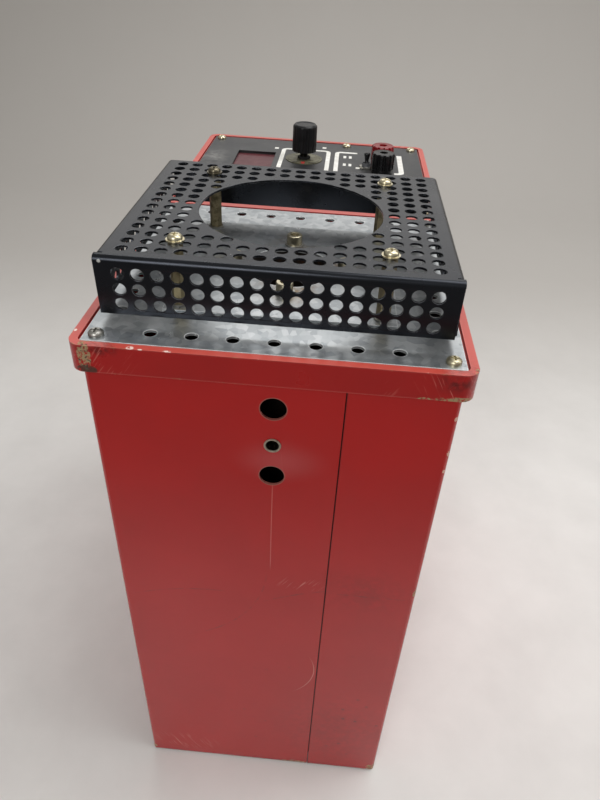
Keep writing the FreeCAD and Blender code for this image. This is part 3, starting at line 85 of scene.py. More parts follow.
# Where the end wall and the rim's face lie along the case, in millimetres
END_WALL = -193.0
RIM_FACE = -198.0
# Weights of a place that goes right through the end wall, and of one that reaches only a little way in
THROUGH_WALL = (1.0, 0.0, 1.0)
NEAR_WALL = (1.0, 0.4, 1.0)


class Easing(Enum):
    """How far the edges of a piece are eased, in millimetres."""

    SHEARED = 0.0
    TURNED = 0.2
    MOULDED = 0.45
    FOLDED = 1.1


SHEARED, TURNED, MOULDED, FOLDED = Easing


def linear(code: str) -> tuple[float, float, float, float]:
    """Turns an sRGB hex value into a linear colour.

    Args:
        code: The colour as "#RRGGBB".

    Returns:
        Red, green, blue and an alpha of one, in linear light.
    """
    channels = [int(code[start:start + 2], 16) / 255 for start in (1, 3, 5)]
    red, green, blue = [c / 12.92 if c <= 0.04045 else ((c + 0.055) / 1.055) ** 2.4 for c in channels]
    return red, green, blue, 1.0


def add_node(tree: Tree, kind: str, inputs: Optional[dict[Any, Any]] = None, output: Union[int, str] = 0,
             **settings: Any) -> Socket:
    """Adds a shader node with its settings and links.

    Args:
        tree: The node tree that gets the node.
        kind: The node's type name, after ShaderNode.
        inputs: Constants or sockets for its inputs, by name or number.
        output: The output that is wanted, by name or number.
        settings: Properties of the node.

    Returns:
        The wanted output.
    """
    node = tree.nodes.new(f"ShaderNode{kind}")
    for name, value in settings.items():
        setattr(node, name, value)
    for key, value in (inputs or {}).items():
        if isinstance(value, Socket):
            tree.links.new(value, node.inputs[key])
        else:
            node.inputs[key].default_value = value
    return node.outputs[output]


def per_mm(size: float) -> float:
    """Gives the texture scale at which one feature is that many millimetres wide."""
    return 1.0 / (size * MM)


class Mark:
    """Something that shows on parts of a surface."""

    def mask(self, surface: "Surface") -> Socket:
        """Marks where it shows."""
        raise NotImplementedError


Mask = Union[Mark, Socket, float]


@dataclass
class Surface:
    """A material in the making: its nodes, the position on the piece, its colour, roughness and height."""

    tree: Tree
    place: Socket
    colour: Socket
    gloss: Socket
    height: Socket

    def lay(self, under: Socket, over: Any, *masks: Mask) -> Socket:
        """Lays one colour or number over another where all the masks are white.

        Args:
            under: What lies below.
            over: What lies on top, of the same kind.
            masks: Marks, masks or plain shares.

        Returns:
            The socket with both.
        """
        shown, *others = [mask.mask(self) if isinstance(mask, Mark) else mask for mask in masks]
        for mask in others:
            shown = add_node(self.tree, "Math", {0: shown, 1: mask}, operation="MULTIPLY")
        if under.type == "RGBA":
            return add_node(self.tree, "Mix", {0: shown, 6: under, 7: over}, output=2, data_type="RGBA")
        return add_node(self.tree, "Mix", {0: shown, 2: under, 3: over})

    def paint(self, code: str, *masks: Mask) -> None:
        """Colours the surface where all the masks are white."""
        self.colour = self.lay(self.colour, linear(code), *masks)


@dataclass(frozen=True)
class Edges(Mark):
    """The edges of a piece, where handling wears it first and where some finishes paint a highlight, as far
    as a reach in millimetres.
    """

    reach: float
    square: float = 0.72

    def mask(self, surface: Surface) -> Socket:
        """Marks the edges.

        Args:
            surface: The surface that has them.

        Returns:
            A mask that rises from zero on the flat to about one at a square edge.
        """
        tree = surface.tree
        rounded = add_node(tree, "Bevel", {"Radius": self.reach * MM}, samples=BEVEL_SAMPLES)
        true = add_node(tree, "NewGeometry", output="Normal")
        facing = add_node(tree, "VectorMath",
                          {0: rounded, 1: true}, output="Value", operation="DOT_PRODUCT")
        return add_node(tree, "MapRange", {0: facing, 1: 1.0, 2: self.square, 3: 0.0, 4: 1.0})


@dataclass(frozen=True)
class Patch(Mark):
    """A soft round place on a piece, in millimetres, with a weight that narrows it along each axis."""

    spot: Triple
    reach: float
    weight: Triple = (1.0, 1.0, 1.0)
    core: float = 0.0

    def mask(self, surface: Surface) -> Socket:
        """Marks the place.

        Args:
            surface: The surface that has it.

        Returns:
            A mask that is one within the core and zero from the reach on.
        """
        return add_node(surface.tree, "MapRange",
                        {0: self.distance(surface), 1: self.core * MM, 2: self.reach * MM, 3: 1.0, 4: 0.0},
                        interpolation_type="SMOOTHSTEP")

    def distance(self, surface: Surface) -> Socket:
        """Measures how far a position lies from the spot.

        Args:
            surface: The surface that is measured.

        Returns:
            The weighted distance, in metres.
        """
        away = add_node(surface.tree, "VectorMath",
                        {0: surface.place, 1: tuple(v * MM for v in self.spot)}, operation="SUBTRACT")
        scaled = add_node(surface.tree, "VectorMath", {0: away, 1: self.weight}, operation="MULTIPLY")
        return add_node(surface.tree, "VectorMath", {0: scaled}, output="Value", operation="LENGTH")


@dataclass(frozen=True)
class Ragged(Mark):
    """Ragged patches of a usual width in millimetres, from one noise level up to another."""

    width: float
    low: float
    high: float
    most: float = 1.0
    detail: float = 6.0
    crisp: float = 0.62

    def mask(self, surface: Surface) -> Socket:
        """Marks the patches.

        Args:
            surface: The surface that has them.

        Returns:
            A mask of the patches.
        """
        noise = add_node(surface.tree, "TexNoise",
                         {"Vector": surface.place, "Scale": per_mm(self.width), "Detail": self.detail,
                          "Roughness": self.crisp})
        return add_node(surface.tree, "MapRange",
                        {0: noise, 1: self.low, 2: self.high, 3: 0.0, 4: self.most})


@dataclass(frozen=True)
class Specks(Mark):
    """Small separate specks: their pitch in millimetres, size as a share of it, and how many show."""

    pitch: float
    size: float
    share: float
    core: float = 0.5

    def mask(self, surface: Surface) -> Socket:
        """Marks the specks.

        Args:
            surface: The surface that has them.

        Returns:
            A mask of the specks.
        """
        tree = surface.tree
        cells = add_node(tree, "TexVoronoi", {"Vector": surface.place, "Scale": per_mm(self.pitch)})
        dot = add_node(tree, "MapRange", {0: cells, 1: self.size, 2: self.size * self.core, 3: 0.0, 4: 1.0})
        pick = add_node(tree, "SeparateColor", {0: cells.node.outputs["Color"]})
        chosen = add_node(tree, "Math", {0: pick, 1: self.share}, operation="LESS_THAN")
        return add_node(tree, "Math", {0: dot, 1: chosen}, operation="MULTIPLY")


@dataclass(frozen=True)
class Scratches(Mark):
    """Short straight scratches on an end face: their pitch in millimetres, lean and noise level."""

    pitch: float
    lean_deg: float
    level: float
    run: float = 14.0
    soft: float = 0.05
    detail: float = 1.0

    def mask(self, surface: Surface) -> Socket:
        """Marks the scratches.

        Args:
            surface: The surface that has them.

        Returns:
            A mask of the scratches.
        """
        tree = surface.tree
        turned = add_node(tree, "Mapping",
                          {"Vector": surface.place, "Rotation": (0.0, math.radians(self.lean_deg), 0.0),
                           "Scale": (1.0, 1.0, self.run)}, vector_type="TEXTURE")
        noise = add_node(tree, "TexNoise",
                         {"Vector": turned, "Scale": per_mm(self.pitch), "Detail": self.detail})
        return add_node(tree, "MapRange",
                        {0: noise, 1: self.level, 2: self.level + self.soft, 3: 0.0, 4: 1.0})


@dataclass(frozen=True)
class Scuff:
    """A thin curved mark on the end wall: the part of a large circle that lies in a soft place."""

    centre: Pair
    radius: float
    part: Pair
    reach: float
    core: float
    colour: str
    width: float
    strength: float
    gaps: Mask = 1.0
    solid: float = 0.2
    edge: float = 0.6

    def draw(self, surface: Surface) -> None:
        """Draws the mark.

        Args:
            surface: The surface that gets it.
        """
        across, up = self.centre
        circle = Patch((across, 0.0, up), self.radius, THROUGH_WALL)
        off = add_node(surface.tree, "Math",
                       {0: circle.distance(surface), 1: self.radius * MM}, operation="SUBTRACT")
        size = add_node(surface.tree, "Math", {0: off}, operation="ABSOLUTE")
        line = add_node(surface.tree, "MapRange",
                        {0: size, 1: self.width * self.solid * MM, 2: self.width * self.edge * MM, 3: 1.0,
                         4: 0.0})
        across, up = self.part
        shown = Patch((across, END_WALL, up), self.reach, NEAR_WALL, self.core)
        surface.paint(self.colour, line, shown, self.strength, self.gaps)


@dataclass(frozen=True)
class Finish:
    """A surface whose tone and gloss wander a little, with a fine grain.

    Subclasses add what their own surface shows, such as chips, spangle or stains.
    """

    name: str
    base: str
    tone: str
    roughness: float
    spread: float = 0.08
    metallic: float = 0.0
    ior: float = 1.5
    blotch_mm: float = 14.0
    grain_mm: float = 0.8
    grain_depth_mm: float = 0.01
    stretch: Triple = (1.0, 1.0, 1.0)
    coat: float = 0.0
    transmission: float = 0.0
    sheen_tint: str = "#FFFFFF"
    round_mm: float = 0.0
    tone_levels: Pair = (0.32, 0.68)
    gloss_levels: Pair = (0.3, 0.7)
    blotch_detail: float = 5.0
    blotch_crisp: float = 0.6
    grain_detail: float = 2.0

    @cache
    def material(self) -> bpy.types.Material:
        """Wires the finish up as a material, once.

        Returns:
            The material.
        """
        material = bpy.data.materials.new(self.name)
        material.use_nodes = True
        tree = material.node_tree
        shader = tree.nodes["Principled BSDF"]
        place = add_node(tree, "TexCoord", output="Object")
        along = add_node(tree, "Mapping", {"Vector": place, "Scale": self.stretch})
        blotch = add_node(tree, "TexNoise",
                          {"Vector": along, "Scale": per_mm(self.blotch_mm), "Detail": self.blotch_detail,
                           "Roughness": self.blotch_crisp})
        grain = add_node(tree, "TexNoise",
                         {"Vector": along, "Scale": per_mm(self.grain_mm), "Detail": self.grain_detail})
        low, high = self.tone_levels
        wander = add_node(tree, "MapRange", {0: blotch, 1: low, 2: high, 3: 0.0, 4: 1.0})
        colour = add_node(tree, "Mix",
                          {0: wander, 6: linear(self.base), 7: linear(self.tone)}, output=2,
                          data_type="RGBA")
        low, high = self.gloss_levels
        gloss = add_node(tree, "MapRange",
                         {0: blotch, 1: low, 2: high, 3: self.roughness - self.spread,
                          4: self.roughness + self.spread})
        surface = Surface(tree, place, colour, gloss, grain)
        self.weather(surface)
        bump = add_node(tree, "Bump",
                        {"Height": surface.height, "Strength": 1.0, "Distance": self.grain_depth_mm * MM})
        if self.round_mm:
            rounded = add_node(tree, "Bevel", {"Radius": self.round_mm * MM}, samples=BEVEL_SAMPLES)
            tree.links.new(rounded, bump.node.inputs["Normal"])
        tree.links.new(surface.colour, shader.inputs["Base Color"])
        tree.links.new(surface.gloss, shader.inputs["Roughness"])
        tree.links.new(bump, shader.inputs["Normal"])
        constants = {"Metallic": self.metallic, "IOR": self.ior, "Coat Weight": self.coat,
                     "Transmission Weight": self.transmission, "Specular Tint": linear(self.sheen_tint)}
        for socket, value in constants.items():
            shader.inputs[socket].default_value = value
        return material

    def weather(self, surface: Surface) -> None:
        """Leaves a plain surface as it is."""


@dataclass(frozen=True)
class StovedEnamel(Finish):
    """Sprayed and baked enamel: even, semi-gloss red, knocked off at corners down to primer and steel."""

    primer: str = "#9C8460"
    steel: str = "#342E24"
    chip: str = "#EBD3C9"
    rub: str = "#C4685E"
    # Pale edge colour: partly thin paint over the primer, partly a painted highlight
    thin: str = "#CE7068"
    dark: str = "#3B0F0D"
    # Colour, share and tilt of the painted highlight on upward faces
    top_highlight: str = "#DC6454"
    top_highlight_share: float = 0.0
    top_highlight_tilt: Pair = (0.7, 0.98)
    edge_reach: float = 1.6
    edge_thin_and_highlight: float = 0.0
    grime_share: float = 0.75
    rub_share: float = 0.7
    bared_share: float = 0.85
    bare_roughness: float = 0.7
    bare_depth: float = 6.0
    torn_share: float = 0.5
    torn_levels: Pair = (0.78, 0.9)
    torn_from: float = 0.02
    scrapes: tuple[Scratches, ...] = (Scratches(1.1, 35.0, 0.6), Scratches(1.1, -28.0, 0.6))
    frayed: Ragged = Ragged(7.0, 0.58, 0.66, 0.0)
    smear: Ragged = Ragged(5.0, 0.36, 0.58)
    tear: Ragged = Ragged(2.4, 0.36, 0.5)
    crumbs: Ragged = Ragged(1.3, 0.42, 0.5)
    deep: Ragged = Ragged(2.0, 0.54, 0.6)
    knocks: tuple[Patch, ...] = ()
    bared: tuple[Patch, ...] = ()
    chips: tuple[Patch, ...] = ()
    rubs: tuple[Patch, ...] = ()
    grimes: tuple[Patch, ...] = ()

    def weather(self, surface: Surface) -> None:
        """Adds a painted highlight on the upward faces, pale edges that are partly thin paint and partly a
        painted highlight, grime, rubbed places, chips and knocked corners to the enamel.

        Args:
            surface: The enamel's surface.
        """
        tree = surface.tree
        # Upward faces are painted lighter: a painted highlight of the light from above
        facing = add_node(tree, "NewGeometry", output="Normal")
        upward = add_node(tree, "SeparateXYZ", {0: facing}, output="Z")
        low, high = self.top_highlight_tilt
        surface.paint(self.top_highlight, add_node(tree, "MapRange",
                                           {0: upward, 1: low, 2: high, 3: 0.0, 4: self.top_highlight_share}))
        edge = Edges(self.edge_reach).mask(surface)
        # Edges are painted paler: partly thin paint, partly a painted highlight along the edge
        surface.paint(self.thin, edge, self.edge_thin_and_highlight)
        for spot in self.grimes:
            surface.paint(self.dark, spot, self.smear, self.grime_share)
        for spot, scrape in zip(self.rubs, self.scrapes * len(self.rubs)):
            surface.paint(self.rub, spot, scrape, self.rub_share)
        ragged = self.tear.mask(surface)
        for spot in self.chips:
            surface.paint(self.chip, self.torn(surface, spot, ragged))
        wear = add_node(tree, "Math", {0: edge, 1: self.frayed.mask(surface)}, operation="MULTIPLY")
        crumbs = self.crumbs.mask(surface)
        for spot in self.knocks:
            bare = add_node(tree, "Math",
                            {0: self.torn(surface, spot, ragged), 1: crumbs}, operation="MULTIPLY")
            wear = add_node(tree, "Math", {0: wear, 1: bare}, operation="MAXIMUM")
        under = add_node(tree, "Mix",
                         {0: self.deep.mask(surface), 6: linear(self.primer), 7: linear(self.steel)},
                         output=2, data_type="RGBA")
        surface.colour = surface.lay(surface.colour, under, wear)
        for spot in self.bared:
            surface.paint(self.steel, self.torn(surface, spot, ragged), self.bared_share)
        surface.gloss = surface.lay(surface.gloss, self.bare_roughness, wear)
        surface.height = add_node(tree, "Math",
                                  {0: wear, 1: -self.bare_depth, 2: surface.height},
                                  operation="MULTIPLY_ADD")

    def torn(self, surface: Surface, spot: Patch, ragged: Socket) -> Socket:
        """Gives a soft place a torn outline.

        Args:
            surface: The enamel's surface.
            spot: The soft place.
            ragged: A mask of ragged patches.

        Returns:
            A mask that is solid in the middle and torn at its border.
        """
        tree = surface.tree
        soft = spot.mask(surface)
        mixed = add_node(tree, "Math", {0: ragged, 1: self.torn_share, 2: soft}, operation="MULTIPLY_ADD")
        low, high = self.torn_levels
        solid = add_node(tree, "MapRange", {0: mixed, 1: low, 2: high, 3: 0.0, 4: 1.0})
        inside = add_node(tree, "Math", {0: soft, 1: self.torn_from}, operation="GREATER_THAN")
        return add_node(tree, "Math", {0: solid, 1: inside}, operation="MULTIPLY")


@dataclass(frozen=True)
class WallEnamel(StovedEnamel):
    """The same enamel on the tall walls, with dirt, scuffs, bare hole edges, a shallow dent and a painted
    highlight beside the dent.
    """

    # Colour of the painted highlight by the dent
    dull: str = "#BA7C7C"
    grime: str = "#4A1A18"
    bare_edge: str = "#7C7064"
    dent_highlight_share: float = 0.2
    dirt_share: float = 0.6
    edge_share: float = 0.55
    specks: Specks = Specks(9.0, 0.2, 0.3)
    dirt: Patch = Patch((55.0, END_WALL, 75.0), 125.0)
    dulled: Patch = Patch((6.0, END_WALL, 359.0), 24.0, (0.75, 0.05, 1.3))
    dent: Patch = Patch((1.5, END_WALL, 360.5), 26.0, (0.8, 0.05, 1.0))
    dent_mm: float = 0.45
    edges: tuple[Patch, ...] = ()
    scuffs: tuple[Scuff, ...] = ()

    def weather(self, surface: Surface) -> None:
        """Adds a pale place by the end holes, which is a painted highlight of the dent, dirt specks,
        scuffs, bare hole edges and a shallow dent.

        Args:
            surface: The wall's surface.
        """
        # A pale patch by the end holes is a painted highlight of the dent
        surface.paint(self.dull, self.dulled, self.dent_highlight_share)
        surface.paint(self.grime, self.specks, self.dirt, self.dirt_share)
        for scuff in self.scuffs:
            scuff.draw(surface)
        for edge in self.edges:
            surface.paint(self.bare_edge, edge, self.edge_share)
        surface.height = add_node(surface.tree, "Math",
                                  {0: self.dent.mask(surface), 1: -self.dent_mm / self.grain_depth_mm,
                                   2: surface.height}, operation="MULTIPLY_ADD")
        super().weather(surface)


@dataclass(frozen=True)
class GalvanisedSheet(Finish):
    """Hot-dipped zinc on steel sheet: bluish grey crystals, rolling streaks and straw-brown heat stains,
    with a painted highlight along its cut edges.
    """

    stain: str = "#7E6440"
    # Colour of the painted highlight on the cut edges
    bright: str = "#E6E8E8"
    facet: str = "#6E757B"
    facet_share: float = 0.55
    facet_gloss: float = 0.05
    crystal_mm: float = 4.2
    cut_reach: float = 1.1
    cut_levels: Pair = (0.06, 0.3)
    edge_highlight_share: float = 0.9
    edge_highlight_metallic: float = 0.1
    burn: Ragged = Ragged(12.0, 0.4, 0.62, 0.85)
    stains: tuple[Patch, ...] = (
        Patch((0.0, -59.5, 431.0), 24.0), Patch((4.0, -124.0, 431.0), 30.0),
        Patch((-34.5, -94.0, 431.0), 24.0), Patch((34.5, -94.0, 431.0), 24.0))

    def weather(self, surface: Surface) -> None:
        """Adds the zinc crystals, the heat stains and a painted highlight along the cut edges, which are
        made pale and less metallic.

        Args:
            surface: The sheet's surface.
        """
        tree = surface.tree
        crystals = add_node(tree, "TexVoronoi",
                            {"Vector": surface.place, "Scale": per_mm(self.crystal_mm)}, output="Color")
        facet = add_node(tree, "SeparateColor", {0: crystals})
        surface.paint(self.facet, facet, self.facet_share)
        surface.gloss = add_node(tree, "Math",
                                 {0: facet, 1: self.facet_gloss, 2: surface.gloss},
                                 operation="MULTIPLY_ADD")
        for spot in self.stains:
            surface.paint(self.stain, spot, self.burn)
        # The cut edges are painted pale and made less metallic: a painted highlight
        low, high = self.cut_levels
        cut = add_node(tree, "MapRange",
                       {0: Edges(self.cut_reach).mask(surface), 1: low, 2: high, 3: 0.0, 4: self.edge_highlight_share})
        surface.paint(self.bright, cut)
        matt = add_node(tree, "MapRange",
                        {0: cut, 1: 0.0, 2: self.edge_highlight_share, 3: self.metallic, 4: self.edge_highlight_metallic})
        tree.links.new(matt, tree.nodes["Principled BSDF"].inputs["Metallic"])


@dataclass(frozen=True)
class SatinPaint(Finish):
    """Sprayed satin paint on thin sheet: dark, slightly sheened, rubbed to grey metal along its edges."""

    worn: str = "#8B8D91"
    chip: str = "#B4B4B0"
    dust: str = "#8F8D88"
    reach_mm: float = 0.8
    wear: Ragged = Ragged(11.0, 0.46, 0.7)
    worn_levels: Pair = (0.25, 0.8)
    worn_share: float = 0.9
    cloud: Ragged = Ragged(7.0, 0.36, 0.8, 0.55)
    speck_mm: float = 5.0
    speck_size: float = 0.09
    dust_share: float = 0.1
    dust_cover: float = 0.7
    chips: tuple[Patch, ...] = ()
    smudges: tuple[Patch, ...] = ()

    def weather(self, surface: Surface) -> None:
        """Adds settled dust, rubbed edges, smudges and pale chips.

        Args:
            surface: The paint's surface.
        """
        tree = surface.tree
        surface.paint(self.dust, Specks(self.speck_mm, self.speck_size, self.dust_share), self.dust_cover)
        rubbed = add_node(tree, "Math",
                          {0: Edges(self.reach_mm).mask(surface), 1: self.wear.mask(surface)},
                          operation="MULTIPLY")
        low, high = self.worn_levels
        surface.paint(self.worn, add_node(tree, "MapRange",
                                          {0: rubbed, 1: low, 2: high, 3: 0.0, 4: self.worn_share}))
        for spot in self.smudges:
            surface.paint(self.dust, spot, self.cloud)
        for spot in self.chips:
            surface.paint(self.chip, spot)


@dataclass(frozen=True)
class TarnishedMetal(Finish):
    """Bare or plated metal that has dulled in patches."""

    metallic: float = 1.0
    tarnish: str = "#4A3D28"
    tarnish_mm: float = 5.0
    tarnish_level: float = 0.56
    tarnish_soft: float = 0.16
    tarnish_gloss: float = 0.2
    tarnish_share: float = 0.8
    # Spot colours: real stains on some metals, painted shade in a bore and under the knob on others
    stain_and_shade: str = "#CDB882"
    stain_and_shade_spots: tuple[Patch, ...] = ()

    def weather(self, surface: Surface) -> None:
        """Adds the dull patches, the places where the plating has changed colour, and dark spots that are
        painted shade.

        Args:
            surface: The metal's surface.
        """
        for spot in self.stain_and_shade_spots:
            surface.paint(self.stain_and_shade, spot)
        full = self.tarnish_level + self.tarnish_soft
        dull = Ragged(self.tarnish_mm, self.tarnish_level, full).mask(surface)
        surface.paint(self.tarnish, dull, self.tarnish_share)
        surface.gloss = add_node(surface.tree, "Math",
                                 {0: dull, 1: self.tarnish_gloss, 2: surface.gloss},
                                 operation="MULTIPLY_ADD")


@dataclass(frozen=True)
class StudioPaper(Finish):
    """A sheet of matt paper that is greyer towards the wall, and painted darker in front of the case as
    painted shade.
    """

    far: str = "#B4B0AB"
    far_reach: Pair = (0.1, 0.9)
    near: str = "#918E8B"
    near_shade_reach: Pair = (-0.33, -0.6)

    def weather(self, surface: Surface) -> None:
        """Greys the paper towards the wall, and darkens it in front as painted shade.

        Args:
            surface: The paper's surface.
        """
        depth = add_node(surface.tree, "SeparateXYZ", {0: surface.place}, output="Y")
        for grey, (start, stop) in ((self.far, self.far_reach), (self.near, self.near_shade_reach)):
            away = add_node(surface.tree, "MapRange",
                            {0: depth, 1: start, 2: stop, 3: 0.0, 4: 1.0}, interpolation_type="SMOOTHSTEP")
            surface.paint(grey, away)


# Semi-gloss enamel shows soft reflections and a faint orange peel; the rim is knocked at its corners, its
# upward faces carry a painted highlight, and its edges carry a pale line that is partly thin paint and
# partly a painted highlight
RIM_ENAMEL = StovedEnamel(
    "stoved red enamel", "#A01311", "#94110F", 0.3, 0.04, ior=1.52, blotch_mm=60.0, grain_mm=2.2,
    grain_depth_mm=0.006, frayed=Ragged(7.0, 0.58, 0.66, 0.7), edge_thin_and_highlight=0.5, top_highlight_share=0.5,
    knocks=(
        Patch((-94.5, RIM_FACE, 424.0), 9.0, (1.5, 0.5, 0.62)),
        Patch((93.0, RIM_FACE, 414.4), 9.0, (0.55, 0.5, 2.4)),
        Patch((78.0, RIM_FACE, 414.2), 4.0, (0.6, 0.5, 2.2)),
        Patch((103.0, -194.0, 430.5), 4.0, (1.0, 0.7, 1.6)), Patch((101.0, 196.0, 424.0), 9.0),
        Patch((-101.0, 196.0, 417.0), 7.0)),
    bared=(Patch((-94.0, RIM_FACE, 415.5), 8.0, (0.9, 0.5, 1.7)),),
    chips=(
        Patch((-70.5, -197.2, 431.0), 4.4, (0.95, 1.0, 2.0)),
        Patch((-65.2, RIM_FACE, 430.4), 2.2, (0.9, 1.2, 2.0)),
        Patch((-51.5, RIM_FACE, 430.6), 4.2, (0.75, 1.4, 3.0)),
        Patch((-6.0, RIM_FACE, 430.6), 2.0, (0.9, 1.2, 2.0)),
        Patch((77.0, RIM_FACE, 430.7), 2.4, (0.8, 1.2, 2.0)),
        Patch((84.0, RIM_FACE, 430.7), 1.8, (0.8, 1.2, 2.0)),
        Patch((-102.5, -184.0, 430.5), 1.8, (1.0, 0.6, 1.6))),
    rubs=(
        Patch((-84.0, RIM_FACE, 421.0), 18.0, (0.9, 0.5, 1.2)),
        Patch((90.0, RIM_FACE, 421.0), 20.0, (0.9, 0.5, 1.2)),
        Patch((60.0, RIM_FACE, 418.5), 7.0, (1.2, 0.5, 1.0))),
    grimes=(
        Patch((94.0, RIM_FACE, 425.5), 15.0, (0.9, 0.5, 1.4)),
        Patch((-86.0, RIM_FACE, 428.0), 10.0, (0.6, 0.5, 2.0))))
# A long scuff is broken up by gaps
GAPS = Ragged(7.0, 0.44, 0.58)
# The walls carry a glossier coat, which mirrors the floor at a slant, with scuffs, bare hole edges and a
# painted highlight by the dent
WALL_ENAMEL = WallEnamel(
    "scuffed red enamel", "#AA1412", "#A01210", 0.23, 0.04, ior=1.55, blotch_mm=80.0, grain_mm=2.2,
    grain_depth_mm=0.006, grime_share=0.24, chip="#C79A86",
    knocks=(
        Patch((98.0, END_WALL, 5.0), 9.0, (0.8, 0.6, 0.9)),
        Patch((98.7, -192.0, 253.0), 4.5, (1.0, 1.0, 0.6)), Patch((-97.5, END_WALL, 6.0), 4.0),
        Patch((28.0, END_WALL, 1.5), 9.0, (0.45, 1.0, 1.6))),
    chips=(
        Patch((97.6, END_WALL, 399.0), 2.0, (1.0, 1.0, 0.8)),
        Patch((97.8, END_WALL, 375.0), 2.2, (1.0, 1.0, 0.7)),
        Patch((97.6, END_WALL, 362.0), 1.8, (1.0, 1.0, 0.8))),
    rubs=(
        Patch((22.0, END_WALL, 252.0), 12.0, (0.6, 0.5, 1.4)),
        Patch((-70.0, END_WALL, 20.0), 26.0, (0.7, 0.5, 1.4))),
    grimes=(
        Patch((66.0, END_WALL, 250.0), 42.0, (1.0, 0.5, 1.3)),
        Patch((60.0, END_WALL, 60.0), 70.0, (1.0, 0.5, 0.8)),
        Patch((10.0, END_WALL, 1.0), 12.0, (0.09, 0.5, 1.3))),
    edges=(
        Patch((1.5, END_WALL, 396.0), 8.0, (1.0, 0.05, 1.0), 7.3),
        Patch((1.5, END_WALL, 348.0), 8.0, (1.0, 0.05, 1.0), 7.3)),
    scuffs=(
        # The first mark is a dark line drawn along the seam between the two shells
        Scuff((80039.3, 205.0), 80000.0, (39.0, 205.0), 230.0, 205.0, "#3A0D0B", 1.3, 0.45),
        Scuff((8002.0, 300.0), 8000.0, (2.0, 304.0), 42.0, 30.0, "#C4776C", 0.6, 0.55),
        Scuff((-83.8, 262.3), 83.5, (-12.0, 212.0), 62.0, 20.0, "#5C1F1C", 1.2, 0.55, GAPS),
        Scuff((-34.4, 92.4), 145.3, (-56.0, 225.0), 40.0, 16.0, "#5C1F1C", 1.2, 0.5, GAPS),
        Scuff((88.1, 66.1), 187.3, (20.0, 241.0), 28.0, 12.0, "#5C1F1C", 1.3, 0.6, GAPS),
        Scuff((70.0, 1245.0), 1000.0, (70.0, 245.0), 36.0, 10.0, "#5C1F1C", 1.4, 0.55, GAPS),
        Scuff((-3.0, 150.0), 40.0, (36.0, 142.0), 30.0, 8.0, "#D08C80", 0.7, 0.5)))
# Cold-rolled sheet has a dull grey skin with fine rolling lines
MILL_STEEL = TarnishedMetal(
    "cold rolled steel", "#8D8F91", "#747679", 0.42, stretch=(0.1, 1.0, 1.0), grain_mm=0.6,
    tarnish="#5C5147", tarnish_level=0.6)
# Zinc crystals catch the light one by one, and heat browns them near the bolts; the cut edges carry a
# painted highlight
GALVANISED = GalvanisedSheet(
    "galvanised sheet", "#AFB3B5", "#BDC0C1", 0.3, 0.04, metallic=0.85, blotch_mm=7.0,
    stretch=(1.0, 0.08, 1.0), grain_mm=0.5, grain_depth_mm=0.0012, round_mm=0.5)
# Steel that has been hot for years is brown-black and matt; on the heat can it is also painted shade for
# the dark inside of the case
HOT_STEEL = TarnishedMetal(
    "heat darkened steel", "#3E3632", "#241F1D", 0.6, metallic=0.8, tarnish="#5A3B25")
# Satin paint gives a broad grey sheen from above and looks black from the side
GUARD_PAINT = SatinPaint(
    "blue black satin paint", "#08090B", "#0C0D10", 0.26, 0.04, ior=1.42, blotch_mm=30.0, grain_mm=1.0,
    grain_depth_mm=0.006, sheen_tint="#E6EEFF", round_mm=0.5, wear=Ragged(11.0, 0.4, 0.62), dust_share=0.06,
    chips=(Patch((-88.4, -175.5, 465.4), 1.2, core=0.6),))
# Panel paint is a flatter, slightly paler grey with rubbed edges and a dusty corner
PANEL_PAINT = SatinPaint(
    "dark grey panel paint", "#28292B", "#222325", 0.42, 0.06, blotch_mm=35.0, grain_mm=0.9,
    grain_depth_mm=0.008, dust="#A9A7A2", reach_mm=0.6, dust_share=0.16,
    smudges=(Patch((-88.0, 128.0, 429.5), 26.0, (1.4, 0.8, 1.0)),))
# Turned brass goes olive brown where it isn't handled
BRASS = TarnishedMetal(
    "turned brass", "#A3977A", "#8C8163", 0.42, stretch=(1.0, 1.0, 0.2), tarnish="#5C5542",
    tarnish_level=0.5)
# Yellow passivated zinc has a pale gold colour with greenish and grey patches
YELLOW_ZINC = TarnishedMetal(
    "yellow zinc plate", "#DDD6BD", "#BDB291", 0.3, blotch_mm=3.0, grain_mm=0.4, tarnish="#7D7254",
    tarnish_mm=2.5, tarnish_level=0.58, stain_and_shade="#6F6858",
    stain_and_shade_spots=(Patch((-56.0, -38.0, 470.0), 8.0, core=6.0),))
# Zinc on the end wall has dulled to a brownish grey, and its bore is painted black as painted shade in the
# hole
DULL_ZINC = TarnishedMetal(
    "dulled zinc plate", "#B3A797", "#8F8474", 0.5, metallic=0.7, blotch_mm=2.0, grain_mm=0.4,
    tarnish="#5A4C3D", tarnish_mm=1.6, tarnish_level=0.52, stain_and_shade="#0E0C0A",
    stain_and_shade_spots=(Patch((1.5, -190.0, 371.0), 3.9, THROUGH_WALL, 3.5),))
# The strip behind the seam is painted near-black: painted shade in the narrow joint
JOINT_SHADE_STEEL = TarnishedMetal(
    "steel darkened as joint shade", "#1C1817", "#120F0E", 0.7, metallic=0.4, tarnish="#2A201A")
# Bright zinc is a clean silver grey, yellowed on one screw
BRIGHT_ZINC = TarnishedMetal(
    "bright zinc plate", "#B4B2AC", "#96948E", 0.4, blotch_mm=3.0, grain_mm=0.4, tarnish="#75705F",
    tarnish_mm=3.0, tarnish_level=0.6, stain_and_shade="#BFB79A",
    stain_and_shade_spots=(Patch((91.3, -185.8, 431.0), 8.0, core=6.0),))
# Alloy bolts lose their black oxide to a warm grey near the heat
BOLT_STEEL = TarnishedMetal(
    "browned alloy steel", "#D2CAB2", "#AAA188", 0.36, blotch_mm=3.0, grain_mm=0.4, tarnish="#5F5440",
    tarnish_mm=2.5, tarnish_level=0.64)
